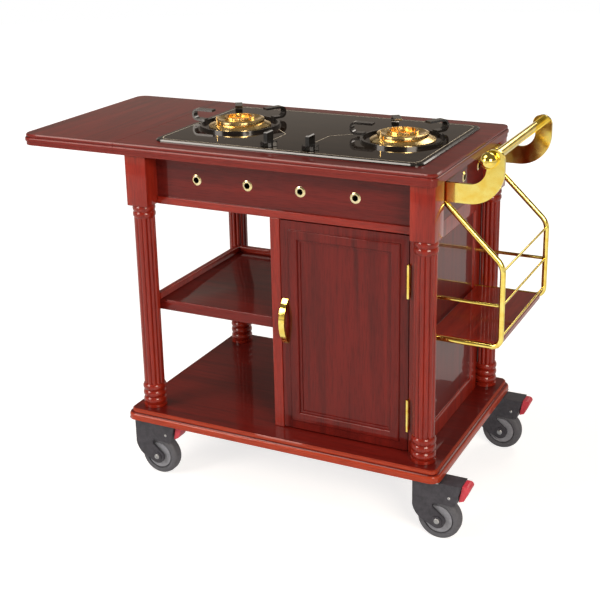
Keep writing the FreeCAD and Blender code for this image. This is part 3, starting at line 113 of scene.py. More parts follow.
def add(tree: NodeTree, kind: str, inputs: dict[str | int, Any] | None = None,
        **settings: Any) -> Node:
    """Adds one node with its settings, its values and its links.

    Args:
        tree: The tree that gets the node.
        kind: Blender's name of the node type.
        inputs: Socket name or index to a value, or to the output socket that feeds it.
        **settings: Attributes of the node.

    Returns:
        The new node.
    """
    node = tree.nodes.new(kind)
    for name, value in settings.items():
        setattr(node, name, value)
    for key, value in (inputs or {}).items():
        if isinstance(value, NodeSocket):
            tree.links.new(value, node.inputs[key])
        else:
            node.inputs[key].default_value = value
    return node


def calc(tree: NodeTree, operation: str, *values: Any) -> NodeSocket:
    """Adds a Math node that works on numbers or sockets and returns its result."""
    return add(tree, "ShaderNodeMath", dict(enumerate(values)), operation=operation).outputs[0]


def vector(tree: NodeTree, operation: str, *values: Any) -> Node:
    """Adds a Vector Math node that works on vectors or sockets."""
    return add(tree, "ShaderNodeVectorMath", dict(enumerate(values)), operation=operation)


def spread(tree: NodeTree, factor: NodeSocket, given: tuple[float, float],
           wanted: tuple[float, float]) -> NodeSocket:
    """Maps the given range of a factor to the wanted one, and stops at its ends."""
    return add(tree, "ShaderNodeMapRange", {0: factor, 1: given[0], 2: given[1], 3: wanted[0],
                                            4: wanted[1]}).outputs[0]


def mix(tree: NodeTree, share: Any, first: Any, second: Any, mode: str = "MIX") -> NodeSocket:
    """Adds a node that mixes two colours and returns the mixed one."""
    return add(tree, "ShaderNodeMix", {0: share, 6: first, 7: second}, data_type="RGBA",
               blend_type=mode).outputs[2]


def surface(tree: NodeTree, colour: NodeSocket, roughness: Any, more: dict[str, Any]) -> Node:
    """Adds a Principled shader with a colour, a roughness and further inputs."""
    return add(tree, "ShaderNodeBsdfPrincipled", {"Base Color": colour, "Roughness": roughness, **more})


def in_scene(name: str, data: Any) -> Object:
    """Makes an object of some data and links it to the scene."""
    made = bpy.data.objects.new(name, data)
    bpy.context.scene.collection.objects.link(made)
    return made


def evaluated(source: Object) -> Mesh:
    """Makes a new mesh of an object with its modifiers applied."""
    graph = bpy.context.evaluated_depsgraph_get()
    graph.update()
    return bpy.data.meshes.new_from_object(source.evaluated_get(graph), depsgraph=graph)


def plain_mesh(build: BMesh, name: str = "build") -> Mesh:
    """Turns a bmesh into a mesh as it is, and frees it."""
    mesh = bpy.data.meshes.new(name)
    build.to_mesh(mesh)
    build.free()
    return mesh


def smooth(mesh: Mesh, angle: float) -> None:
    """Shades a mesh smooth, apart from edges sharper than so many degrees."""
    mesh.polygons.foreach_set("use_smooth", [True] * len(mesh.polygons))
    mesh.set_sharp_from_angle(angle=math.radians(angle))


def new_piece(name: str, mesh: Mesh, material: Material) -> Object:
    """Links a finished mesh as an object at the origin.

    Args:
        name: Name of the piece.
        mesh: Its mesh, in metres of the frame.
        material: The finish of all its faces.

    Returns:
        The object.
    """
    mesh.name = name
    mesh.materials.clear()
    mesh.materials.append(material)
    return in_scene(name, mesh)


def attach(piece: Object, body: str,
           stands_for: Sequence[str] = ()) -> Object:
    """Lets a finished piece ride on its body.

    Args:
        piece: The piece, in place.
        body: The CAD body that carries it.
        stands_for: CAD nodes that it replaces.

    Returns:
        The same piece.
    """
    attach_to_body(piece, body)
    if stands_for:
        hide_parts(*stands_for)
    LOG.info("%s rides on %s: %d faces", piece.name, body, len(piece.data.polygons))
    return piece


def baked(source: Object, name: str, material: Material) -> Object:
    """Turns an object with modifiers into a plain mesh piece and removes the source.

    Args:
        source: The object with its live modifiers.
        name: Name of the new piece.
        material: Its finish.

    Returns:
        The plain piece.
    """
    mesh = evaluated(source)
    mesh.transform(source.matrix_world)
    bpy.data.objects.remove(source)
    return new_piece(name, mesh, material)


def mesh_of(build: BMesh, smooth_angle: float | None = SMOOTH_ANGLE) -> Mesh:
    """Closes a bmesh into a mesh with outward faces.

    Args:
        build: The bmesh, which is freed.
        smooth_angle: Edges flatter than this many degrees shade smooth; None keeps all flat.

    Returns:
        The mesh.
    """
    bmesh.ops.remove_doubles(build, verts=build.verts, dist=1e-6)
    bmesh.ops.recalc_face_normals(build, faces=build.faces)
    mesh = plain_mesh(build)
    if smooth_angle is not None:
        smooth(mesh, smooth_angle)
    return mesh


def lathe(build: BMesh, profile: Sequence[tuple[float, float]], place: Matrix,
          steps: int = 48) -> None:
    """Turns a closed or axis-to-axis profile about a local z axis.

    Args:
        build: The bmesh that gets the faces.
        profile: Radius and height pairs in millimetres; a radius of 0 closes a pole.
        place: Turns and moves the local millimetres into metres of the frame.
        steps: Faces round the axis.
    """
    rings: list[list[BMVert]] = []
    for radius, height in profile:
        count = 1 if radius == 0 else steps
        turns = [2 * math.pi * k / steps for k in range(count)]
        rings.append([build.verts.new(place @ Vector((radius * math.cos(t), radius * math.sin(t), height)))
                      for t in turns])
    for low, high in zip(rings, rings[1:]):
        for k in range(steps):
            corners = [low[k % len(low)], low[(k + 1) % len(low)],
                       high[(k + 1) % len(high)], high[k % len(high)]]
            unique = list(dict.fromkeys(corners))
            if len(unique) > 2:
                build.faces.new(unique)


def seat(place: Vector, axis: Vector) -> Matrix:
    """Makes the matrix that stands local millimetres on a point of the frame, z along the axis."""
    turn = axis.to_track_quat("Z", "Y").to_matrix().to_4x4()
    return Matrix.Translation(place) @ turn @ Matrix.Scale(MM, 4)


def rounded_box(build: BMesh, low: Vector, high: Vector, bevel: float, segments: int = 2) -> None:
    """Adds a box with rounded edges.

    Args:
        build: The bmesh that gets it.
        low: Lowest corner, in metres.
        high: Highest corner, in metres.
        bevel: Width of the rounding, in metres.
        segments: Steps of the rounding.
    """
    middle, span = (low + high) / 2, high - low
    made = bmesh.ops.create_cube(build, size=1.0,
                                 matrix=Matrix.Translation(middle) @ Matrix.Diagonal((*span, 1)))
    edges = {edge for vert in made["verts"] for edge in vert.link_edges}
    bmesh.ops.bevel(build, geom=list(edges), offset=bevel, segments=segments, profile=0.5, affect="EDGES")


def dress(nodes: Iterable[str], material: Material) -> None:
    """Gives CAD nodes their finish.

    Args:
        nodes: Names of the nodes.
        material: The finish.
    """
    for name in nodes:
        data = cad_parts[name].data
        for index in range(len(data.materials)):
            data.materials[index] = material
        LOG.info("%s keeps its form, finish %s", name, material.name)


def softened(node: str, name: str, width: float, material: Material, body: str,
             segments: int = 2) -> Object:
    """Copies a CAD node with its hard edges eased, and lets the copy stand for it.

    Args:
        node: The CAD node.
        name: Name of the new piece.
        width: Width of the eased edge in millimetres.
        material: Its finish.
        body: The body that carries it.
        segments: Steps across the eased edge.

    Returns:
        The piece.
    """
    build = bmesh.new()
    build.from_mesh(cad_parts[node].data)
    bmesh.ops.remove_doubles(build, verts=build.verts, dist=WELD)
    bmesh.ops.dissolve_limit(build, angle_limit=math.radians(FLAT_ANGLE), verts=build.verts,
                             edges=build.edges)
    source = in_scene(name + "_source", mesh_of(build))
    ease = source.modifiers.new("eased_edges", "BEVEL")
    ease.width = width * MM
    ease.segments = segments
    ease.limit_method = "ANGLE"
    ease.angle_limit = math.radians(EDGE_ANGLE)
    ease.use_clamp_overlap = True
    ease.harden_normals = True
    return attach(baked(source, name, material), body, (node,))


# Finishes
@dataclass(frozen=True)
class Finish(ABC):
    """A procedural material that reads Object coordinates."""

    name: str

    def build(self) -> Material:
        """Makes the material.

        Returns:
            The finished material.
        """
        material = bpy.data.materials.new(self.name)
        material.use_nodes = True
        tree = material.node_tree
        tree.nodes.clear()
        add(tree, "ShaderNodeOutputMaterial", {"Surface": self.shade(tree).outputs[0]})
        return material

    @abstractmethod
    def shade(self, tree: NodeTree) -> Node:
        """Builds the nodes and returns the shader node."""

    @staticmethod
    def pattern(tree: NodeTree, cell: Point, detail: float = 3.0, warp: float = 0.0,
                roughness: float = 0.5) -> NodeSocket:
        """Lays a noise over Object coordinates.

        Args:
            tree: The material's tree.
            cell: Size of a noise cell along x, y and z, in millimetres.
            detail: Octaves of the noise.
            warp: Distortion of the noise.
            roughness: Share of each finer octave.

        Returns:
            The noise factor.
        """
        coords = add(tree, "ShaderNodeTexCoord")
        scaled = add(tree, "ShaderNodeMapping", {"Vector": coords.outputs["Object"],
                                                 "Scale": [1 / (size * MM) for size in cell]})
        noise = add(tree, "ShaderNodeTexNoise", {
            "Vector": scaled.outputs[0], "Scale": 1.0, "Detail": detail, "Roughness": roughness,
            "Distortion": warp})
        return noise.outputs[0]

    @staticmethod
    def tint(tree: NodeTree, factor: NodeSocket,
             stops: Sequence[tuple[float, str]]) -> NodeSocket:
        """Colours a factor by a ramp of hex colours.

        Args:
            tree: The material's tree.
            factor: What drives the ramp.
            stops: Position and hex colour pairs in rising order.

        Returns:
            The colour.
        """
        ramp = add(tree, "ShaderNodeValToRGB", {0: factor})
        elements = ramp.color_ramp.elements
        while len(elements) < len(stops):
            elements.new(1.0)
        for element, (position, colour) in zip(elements, stops):
            element.position = position
            element.color = linear(colour)
        return ramp.outputs[0]


@dataclass(frozen=True)
class LacqueredMahogany(Finish):
    """Mahogany, planed, stained red and sprayed with clear polyester lacquer.

    The stain gives a deep red with long darker streaks; the hard film over it is smooth,
    so the board mirrors what stands on it.
    """

    axis: GrainAxis
    dark: str
    middle: str
    bright: str
    film: float = 0.65
    lipping_and_edge_light: str = ""

    def cell(self, along: float, across: float) -> Point:
        """Size of a noise cell that is stretched along the grain."""
        sizes = [across] * 3
        sizes[self.axis.value] = along
        return sizes[0], sizes[1], sizes[2]

    def shade(self, tree: NodeTree) -> Node:
        """Builds streaks, pores and the lacquer film."""
        # Growth bands of a plain-sawn board are 15 to 30 mm wide and run on for most of its length.
        figure = self.pattern(tree, self.cell(420, 26), 4.0, 0.6, 0.55)
        stained = self.tint(tree, figure, [(0.25, self.dark), (0.5, self.middle), (0.8, self.bright)])
        if self.lipping_and_edge_light:
            # A board's edge is a 30 mm lipping of solid wood. Its upright faces get a brighter colour than
            # the veneer on its flats: partly the lipping's own tone, partly painted light that the edges
            # catch.
            coords = add(tree, "ShaderNodeTexCoord")
            facing = add(tree, "ShaderNodeSeparateXYZ", {0: coords.outputs["Normal"]})
            upright = calc(tree, "ABSOLUTE", facing.outputs[2])
            share = spread(tree, upright, (0.9, 0.6), (0.0, 1.0))
            stained = mix(tree, share, stained, linear(self.lipping_and_edge_light))
        # Real pores are 0.2 mm wide: drawn 1.6 mm wide, so that they show at all.
        pores = self.pattern(tree, self.cell(38, 1.6), 2.0, 0.1, 0.6)
        lines = self.tint(tree, pores, [(0.34, "#a89c98"), (0.52, "#ffffff")])
        colour = mix(tree, 0.5, stained, lines, "MULTIPLY")
        # Lacquer over open pores keeps a very faint unevenness.
        relief = add(tree, "ShaderNodeBump", {"Strength": 0.05, "Distance": 0.0004, "Height": pores})
        return surface(tree, colour, 0.42, {
            "IOR": RESIN_IOR, "Specular IOR Level": 0.1, "Normal": relief.outputs[0],
            "Coat Weight": self.film, "Coat Roughness": 0.03, "Coat IOR": 1.42})


@dataclass(frozen=True)
class PolishedBrass(Finish):
    """Brass, cast or drawn, buffed bright and lacquered: a clear warm mirror with faint polishing haze."""

    colour: str = "#fff08c"
    shadow: str = "#f8d860"
    gloss: float = 0.1

    def shade(self, tree: NodeTree) -> Node:
        """Builds the metal with its polishing haze."""
        # A buffing mop leaves hazy patches about 20 mm across.
        haze = self.pattern(tree, (20, 20, 20), 3.0, 0.3)
        colour = self.tint(tree, haze, [(0.3, self.shadow), (0.7, self.colour)])
        rough = spread(tree, haze, (0.3, 0.7), (self.gloss * 0.7, self.gloss * 1.4))
        # Fine scratches are 0.05 mm: drawn 0.8 mm, so that highlights waver a little.
        marks = self.pattern(tree, (0.8, 6, 0.8), 2.0)
        relief = add(tree, "ShaderNodeBump", {"Strength": 0.015, "Distance": 0.0002, "Height": marks})
        return surface(tree, colour, rough, {"Metallic": 1.0, "Normal": relief.outputs[0]})


@dataclass(frozen=True)
class TemperedGlass(Finish):
    """Tempered glass, 6 mm, black enamel fired on its back: a deep brown-black mirror."""

    def shade(self, tree: NodeTree) -> Node:
        """Builds the dark sheet with wiping haze."""
        # A cloth leaves haze in sweeps about 90 mm long.
        haze = self.pattern(tree, (90, 30, 30), 3.0, 0.8)
        colour = self.tint(tree, haze, [(0.3, "#140e0a"), (0.75, "#211811")])
        rough = spread(tree, haze, (0.3, 0.75), (0.03, 0.08))
        return surface(tree, colour, rough, {"IOR": GLASS_IOR, "Specular Tint": linear("#e9d6bd"),
                                             "Coat Weight": 0.15, "Coat Roughness": 0.02})


@dataclass(frozen=True)
class VitreousEnamel(Finish):
    """Steel strip dipped in black enamel and fired: satin black with soft orange peel."""

    colour: str = "#0f0d0c"

    def shade(self, tree: NodeTree) -> Node:
        """Builds the fired coat."""
        # Orange peel of fired enamel is about 1.5 mm from crest to crest.
        peel = self.pattern(tree, (1.5, 1.5, 1.5), 2.0)
        colour = self.tint(tree, peel, [(0.3, self.colour), (0.8, "#1d1a18")])
        relief = add(tree, "ShaderNodeBump", {"Strength": 0.1, "Distance": 0.0003, "Height": peel})
        return surface(tree, colour, 0.2, {"IOR": RESIN_IOR, "Normal": relief.outputs[0],
                                           "Coat Weight": 0.6, "Coat Roughness": 0.05})


@dataclass(frozen=True)
class MouldedPolymer(Finish):
    """Injection-moulded plastic: one colour through, with the die's fine texture and a few scuffs."""

    colour: str
    worn: str
    roughness: float
    texture: float = 0.6
    relief: float = 0.12

    def shade(self, tree: NodeTree) -> Node:
        """Builds the moulded skin."""
        # Spark-eroded dies leave a grain of 0.1 mm: drawn at the size given, so that it shows.
        grain = self.pattern(tree, (self.texture,) * 3, 2.0)
        scuffs = self.pattern(tree, (14, 14, 14), 5.0, 0.4, 0.65)
        colour = self.tint(tree, scuffs, [(0.35, self.colour), (0.75, self.worn)])
        rough = spread(tree, scuffs, (0.3, 0.7), (self.roughness * 0.85, min(1.0, self.roughness * 1.2)))
        bump = add(tree, "ShaderNodeBump", {"Strength": self.relief, "Distance": 0.0002, "Height": grain})
        return surface(tree, colour, rough, {"IOR": POLYMER_IOR, "Normal": bump.outputs[0]})


@dataclass(frozen=True)
class TwoShotWheel(Finish):
    """Castor wheel: a pale polypropylene disc with a grey thermoplastic rubber tread moulded round it."""

    hub: Point
    disc_radius: float = 32
    tread: str = "#565860"
    disc: str = "#868a95"

    def shade(self, tree: NodeTree) -> Node:
        """Builds disc and tread by the distance from the axle."""
        coords = add(tree, "ShaderNodeTexCoord")
        centred = vector(tree, "SUBTRACT", coords.outputs["Object"], at(*self.hub))
        flat = vector(tree, "MULTIPLY", centred.outputs[0], (1, 0, 1))
        away = vector(tree, "LENGTH", flat.outputs[0]).outputs["Value"]
        edge = self.disc_radius * MM
        rim = spread(tree, away, (edge, edge + 0.0005), (0.0, 1.0))
        # Road dust lies in blotches about 9 mm across.
        dust = self.pattern(tree, (9, 9, 9), 4.0, 0.3, 0.6)
        worn = spread(tree, dust, (0.3, 0.7), (0.85, 1.12))
        colour = mix(tree, rim, linear(self.disc), linear(self.tread))
        toned = add(tree, "ShaderNodeVectorMath", {0: colour, "Scale": worn}, operation="SCALE")
        rough = spread(tree, rim, (0.0, 1.0), (0.28, 0.62))
        return surface(tree, toned.outputs[0], rough, {"IOR": POLYMER_IOR})


@dataclass(frozen=True)
class PlatedSteel(Finish):
    """Pressed steel, zinc plated: grey metal with fine drawn lines and cloudy plating."""

    def shade(self, tree: NodeTree) -> Node:
        """Builds the plated sheet."""
        # Zinc spangle is about 8 mm across.
        spangle = self.pattern(tree, (8, 8, 8), 3.0)
        lines = self.pattern(tree, (60, 0.7, 0.7), 2.0)
        colour = self.tint(tree, spangle, [(0.3, "#8d8f92"), (0.7, "#b9bbbd")])
        rough = spread(tree, lines, (0.3, 0.7), (0.28, 0.42))
        return surface(tree, colour, rough, {"Metallic": 1.0})


@dataclass(frozen=True)
class InkAndPaintedHighlight(Finish):
    """Screen-printed ceramic ink, fired on the glass: a thin matt cream line. The same cream also paints a
    highlight line near the glass edge.
    """

    def shade(self, tree: NodeTree) -> Node:
        """Builds the printed colour with the mesh's slight unevenness."""
        # The screen's threads are 0.4 mm apart.
        mesh = self.pattern(tree, (0.4, 0.4, 0.4), 1.0)
        colour = self.tint(tree, mesh, [(0.3, "#b5ab98"), (0.7, "#d8cfbc")])
        return surface(tree, colour, 0.5, {"IOR": RESIN_IOR})


@dataclass(frozen=True)
class PaintedPortShade(Finish):
    """Painted shade of the burners' port holes: dull brown-black, with warmer brown patches."""

    def shade(self, tree: NodeTree) -> Node:
        """Builds the painted shade."""
        # The warmer patches in the painted shade are about 5 mm across.
        shade_patches = self.pattern(tree, (5, 5, 5), 4.0)
        colour = self.tint(tree, shade_patches, [(0.35, "#0d0908"), (0.75, "#2c1a10")])
        return surface(tree, colour, 0.75, {"IOR": RESIN_IOR})


@dataclass(frozen=True)
class StudioPaper(Finish):
    """Seamless white studio paper: matt, with a very faint tooth, and white where no shadow falls."""

    seen: float = 0.74
    seen_far: float = 1.0
    mirrored: float = 0.34

    def shade(self, tree: NodeTree) -> Node:
        """Builds the paper and the white that cameras and mirrors see."""
        # Paper fibre is drawn 3 mm long.
        fibre = self.pattern(tree, (3, 3, 3), 2.0)
        colour = self.tint(tree, fibre, [(0.2, "#b8b8b8"), (0.8, "#bebebe")])
        matt = add(tree, "ShaderNodeBsdfDiffuse", {"Color": colour, "Roughness": 0.0})
        ray = add(tree, "ShaderNodeLightPath")
        through = calc(tree, "ADD", ray.outputs["Is Glossy Ray"], ray.outputs["Is Transmission Ray"])
        # The paper is lifted more where the lamps no longer reach it, from 1.4 m to 3.5 m out.
        coords = add(tree, "ShaderNodeTexCoord")
        away = vector(tree, "LENGTH", coords.outputs["Object"]).outputs["Value"]
        lifted = spread(tree, away, (1.4, 3.5), (self.seen, self.seen_far))
        direct = calc(tree, "MULTIPLY", ray.outputs["Is Camera Ray"], lifted)
        level = calc(tree, "MULTIPLY_ADD", through, self.mirrored, direct)
        glow = add(tree, "ShaderNodeEmission", {"Color": linear("#ffffff"), "Strength": level})
        return add(tree, "ShaderNodeAddShader", {0: matt.outputs[0], 1: glow.outputs[0]})


@dataclass
class Palette:
    """Every finish of the trolley, built once."""

    panel: dict[str, Material] = field(init=False)
    solid: dict[str, Material] = field(init=False)
    lipped_and_edge_lit: dict[str, Material] = field(init=False)
    brass: Material = field(default_factory=PolishedBrass("polished_brass").build)
    eyelet: Material = field(default_factory=PolishedBrass(
        "pale_eyelet_brass", "#f6ecc4", "#e6d493", 0.16).build)
    burner: Material = field(default_factory=PolishedBrass(
        "cast_burner_brass", "#ffe6a8", "#fbd488", 0.22).build)
    glass: Material = field(default_factory=TemperedGlass("tempered_black_glass").build)
    enamel: Material = field(default_factory=VitreousEnamel("black_vitreous_enamel").build)
    steel: Material = field(default_factory=PlatedSteel("zinc_plated_steel").build)
    fork: Material = field(default_factory=MouldedPolymer(
        "castor_fork_nylon", "#2b2b33", "#44444d", 0.5).build)
    knob: Material = field(default_factory=MouldedPolymer(
        "black_phenolic_knob", "#0c0c0c", "#1c1b1a", 0.14, 2.0, 0.03).build)
    pedal: Material = field(default_factory=MouldedPolymer(
        "red_pedal_plastic", "#bd2f42", "#cf4a58", 0.32, 0.8, 0.06).build)
    # Cream for the printed lines, also used for the painted highlight line near the glass edge.
    ink_and_highlight: Material = field(default_factory=InkAndPaintedHighlight("cream_ink_and_painted_highlight").build)
    # Dark discs that paint the shade inside the burner ports.
    port_shade: Material = field(default_factory=PaintedPortShade("painted_shade_burner_ports").build)

    def __post_init__(self) -> None:
        """Builds the wooden finishes, one for each way of the grain."""
        panel = ("#480e0b", "#60140f", "#741b14")
        solid = ("#6c180e", "#861f11", "#9e2c17")
        axes = {"x": GrainAxis.ALONG_X, "y": GrainAxis.ALONG_Y, "z": GrainAxis.ALONG_Z}
        self.panel = {key: LacqueredMahogany("veneered_mahogany_" + key, axis, *panel).build()
                      for key, axis in axes.items()}
        self.solid = {key: LacqueredMahogany("solid_mahogany_" + key, axis, *solid, film=0.95).build()
                      for key, axis in axes.items()}
        # Edge colours: partly the solid lipping's own tone, partly painted light on the boards' upright
        # faces.
        lippings_and_edge_light = (("top", "x", "#74211a"), ("leaf", "y", "#74211a"), ("base", "x", "#a2371b"))
        self.lipped_and_edge_lit = {word: LacqueredMahogany("lipped_edge_lit_mahogany_" + word, axes[key], *panel,
                                               lipping_and_edge_light=edge).build() for word, key, edge in lippings_and_edge_light}


# Geometry Nodes
def new_tree(name: str, sockets: dict[str, str]) -> tuple[NodeTree, Node]:
    """Starts a Geometry Nodes tree that takes points, named sizes and a material.

    Args:
        name: Name of the tree.
        sockets: Label and kind of each size.

    Returns:
        The tree and its input node.
    """
    tree = bpy.data.node_groups.new(name, "GeometryNodeTree")
    for label, kind in {"Points": "Geometry", **sockets, "Material": "Material"}.items():
        tree.interface.new_socket(label, in_out="INPUT", socket_type="NodeSocket" + kind)
    tree.interface.new_socket("Geometry", in_out="OUTPUT", socket_type="NodeSocketGeometry")
    return tree, add(tree, "NodeGroupInput")


def close_tree(tree: NodeTree, sizes: Node, points: NodeSocket,
               instance: NodeSocket, **extra: NodeSocket) -> None:
    """Ends a tree: an instance on every point, made real and given its finish.

    Args:
        tree: The tree.
        sizes: Its input node.
        points: Where the instances go.
        instance: What is repeated.
        **extra: Further inputs of the instancing node, such as Rotation.
    """
    placed = add(tree, "GeometryNodeInstanceOnPoints", {"Points": points, "Instance": instance, **extra})
    real = add(tree, "GeometryNodeRealizeInstances", {"Geometry": placed.outputs[0]})
    finished = add(tree, "GeometryNodeSetMaterial", {"Geometry": real.outputs[0],
                                                     "Material": sizes.outputs["Material"]})
    add(tree, "NodeGroupOutput", {"Geometry": finished.outputs[0]})


def grow(name: str, tree: NodeTree, points: Sequence[Vector], sizes: dict[str, Any],
         material: Material, axes: Sequence[Vector] | None = None,
         smooth_angle: float = SMOOTH_ANGLE) -> Object:
    """Runs a tree on points and turns the result into a plain piece.

    Args:
        name: Name of the piece.
        tree: The Geometry Nodes tree.
        points: Where its instances go, in metres.
        sizes: Values of its named inputs.
        material: The finish.
        axes: Where each instance's z axis points, if the tree asks.
        smooth_angle: Edges flatter than this many degrees shade smooth.

    Returns:
        The piece.
    """
    mesh = bpy.data.meshes.new(name + "_points")
    mesh.from_pydata([tuple(p) for p in points], [], [])
    if axes is not None:
        attribute = mesh.attributes.new("axis", "FLOAT_VECTOR", "POINT")
        for item, axis in zip(attribute.data, axes):
            item.vector = axis
    source = in_scene(name + "_source", mesh)
    modifier = source.modifiers.new(tree.name, "NODES")
    modifier.node_group = tree
    values = {**sizes, "Material": material}
    for item in tree.interface.items_tree:
        if item.item_type == "SOCKET" and item.in_out == "INPUT" and item.name in values:
            modifier[item.identifier] = values[item.name]
    piece = baked(source, name, material)
    smooth(piece.data, smooth_angle)
    return piece


def reeded_tree() -> NodeTree:
    """Builds the tree of a reeded shaft: the outline is a ring of touching round reeds.

    Returns:
        The tree, with inputs for the reeds, the circle of their centres, their radius and the length.
    """
    tree, sizes = new_tree("reeded_shaft", {"Reeds": "Int", "Samples": "Int", "Reed circle": "Float",
                                            "Reed radius": "Float", "Length": "Float"})
    blank = add(tree, "GeometryNodeMeshCylinder", {
        "Vertices": sizes.outputs["Samples"], "Side Segments": 1, "Radius": 1.0,
        "Depth": sizes.outputs["Length"]}, fill_type="NGON")
    place = add(tree, "GeometryNodeInputPosition")
    parts = add(tree, "ShaderNodeSeparateXYZ", {0: place.outputs[0]})
    circle, reed = sizes.outputs["Reed circle"], sizes.outputs["Reed radius"]
    angle = calc(tree, "ARCTAN2", parts.outputs[1], parts.outputs[0])
    half = calc(tree, "DIVIDE", math.pi, sizes.outputs["Reeds"])
    within = calc(tree, "WRAP", angle, half, calc(tree, "MULTIPLY", half, -1.0))
    near = calc(tree, "MULTIPLY", calc(tree, "COSINE", within), circle)
    aside = calc(tree, "MULTIPLY", calc(tree, "SINE", within), circle)
    left = calc(tree, "SUBTRACT", calc(tree, "POWER", reed, 2.0), calc(tree, "POWER", aside, 2.0))
    radius = calc(tree, "ADD", near, calc(tree, "SQRT", left))
    wide = add(tree, "ShaderNodeCombineXYZ", {0: radius, 1: radius, 2: 1.0})
    moved = vector(tree, "MULTIPLY", place.outputs[0], wide.outputs[0])
    shaft = add(tree, "GeometryNodeSetPosition", {"Geometry": blank.outputs["Mesh"],
                                                  "Position": moved.outputs[0]})
    close_tree(tree, sizes, sizes.outputs["Points"], shaft.outputs[0])
    return tree


def screw_tree() -> NodeTree:
    """Builds the tree that sets one screw head on every point, each with its slot turned by chance.

    Returns:
        The tree, with inputs for the screw and the seed.
    """
    tree, sizes = new_tree("screws", {"Screw": "Object", "Seed": "Int"})
    screw = add(tree, "GeometryNodeObjectInfo", {"Object": sizes.outputs["Screw"]})
    axis = add(tree, "GeometryNodeInputNamedAttribute", {"Name": "axis"}, data_type="FLOAT_VECTOR")
    upright = add(tree, "FunctionNodeAlignRotationToVector", {"Vector": axis.outputs[0]}, axis="Z")
    chance = add(tree, "FunctionNodeRandomValue", {2: 0.0, 3: 2 * math.pi, "Seed": sizes.outputs["Seed"]},
                 data_type="FLOAT")
    turn = add(tree, "ShaderNodeCombineXYZ", {2: chance.outputs[1]})
    driven = add(tree, "FunctionNodeEulerToRotation", {0: turn.outputs[0]})
    turned = add(tree, "FunctionNodeRotateRotation", {0: upright.outputs[0], 1: driven.outputs[0]},
                 rotation_space="LOCAL")
    close_tree(tree, sizes, sizes.outputs["Points"], screw.outputs["Geometry"], Rotation=turned.outputs[0])
    return tree


def port_tree() -> NodeTree:
    """Builds the tree of a ring of thin round discs, the painted shade of the ports, that face away from
    the ring's middle.

    Returns:
        The tree, with inputs for the number of ports, the ring's radius and the size of a port.
    """
    tree, sizes = new_tree("port_ring", {"Ports": "Int", "Ring radius": "Float", "Port radius": "Float",
                                         "Port depth": "Float"})
    circle = add(tree, "GeometryNodeMeshCircle", {"Vertices": sizes.outputs["Ports"],
                                                  "Radius": sizes.outputs["Ring radius"]})
    place = add(tree, "GeometryNodeInputPosition")
    outward = add(tree, "FunctionNodeAlignRotationToVector", {"Vector": place.outputs[0]}, axis="Z")
    port = add(tree, "GeometryNodeMeshCylinder", {
        "Vertices": 8, "Radius": sizes.outputs["Port radius"], "Depth": sizes.outputs["Port depth"]})
    ring = add(tree, "GeometryNodeInstanceOnPoints", {"Points": circle.outputs[0],
                                                      "Instance": port.outputs["Mesh"],
                                                      "Rotation": outward.outputs[0]})
    close_tree(tree, sizes, sizes.outputs["Points"], ring.outputs[0])
    return tree


# Sub-assemblies
@dataclass
class SubAssembly(ABC):
    """A part of the trolley with its own finishes and its own added pieces."""

    palette: Palette

    @abstractmethod
    def build(self) -> None:
        """Dresses the CAD nodes and adds the pieces."""


@dataclass
class ScrewSet:
    """Screw and rivet heads, set wherever a plate or an axle is fixed."""

    tree: NodeTree
    radius: float = 3.1
    rise: float = 0.9
    slotted: bool = True
    slot_wide: float = 0.9
    slot_deep: float = 0.6
    seed: int = 7
    steps: int = 16
    smooth_angle: float = 40

    def head(self) -> Object:
        """Builds one domed head, whose seat is at its local z = 0.

        Returns:
            The head as a loose object that serves as the instance.
        """
        build = bmesh.new()
        lathe(build, [(0, -0.4), (self.radius, -0.4), (self.radius, self.rise * 0.25),
                      (self.radius * 0.86, self.rise * 0.62), (self.radius * 0.5, self.rise * 0.92),
                      (0, self.rise)], Matrix.Scale(MM, 4), self.steps)
        head = in_scene("domed_head", mesh_of(build, self.smooth_angle))
        if not self.slotted:
            return head
        bar = bmesh.new()
        span = Vector((self.radius * 2.4, self.slot_wide, self.slot_deep * 2)) * MM
        place = Matrix.Translation((0, 0, self.rise * MM)) @ Matrix.Diagonal((*span, 1))
        bmesh.ops.create_cube(bar, size=1.0, matrix=place)
        tool = in_scene("slot_cutter", mesh_of(bar, None))
        cut = head.modifiers.new("slot", "BOOLEAN")
        cut.object = tool
        cut.solver = "EXACT"
        slotted = evaluated(head)
        head.modifiers.clear()
        head.data = slotted
        bpy.data.objects.remove(tool)
        return head

    def set_in(self, name: str, places: Sequence[tuple[Vector, Vector]], material: Material,
               body: str, slot: Slot) -> Object:
        """Sets heads in one body.

        Args:
            name: Name of the piece.
            places: Seat and outward axis of every head.
            material: Their finish.
            body: The body that carries them.
            slot: The record's slot of their finish; not used.

        Returns:
            The piece that holds all of them.
        """
        head = self.head()
        piece = grow(name, self.tree, [p for p, _ in places], {"Screw": head, "Seed": self.seed}, material,
                     [a for _, a in places], self.smooth_angle)
        bpy.data.objects.remove(head)
        return attach(piece, body)


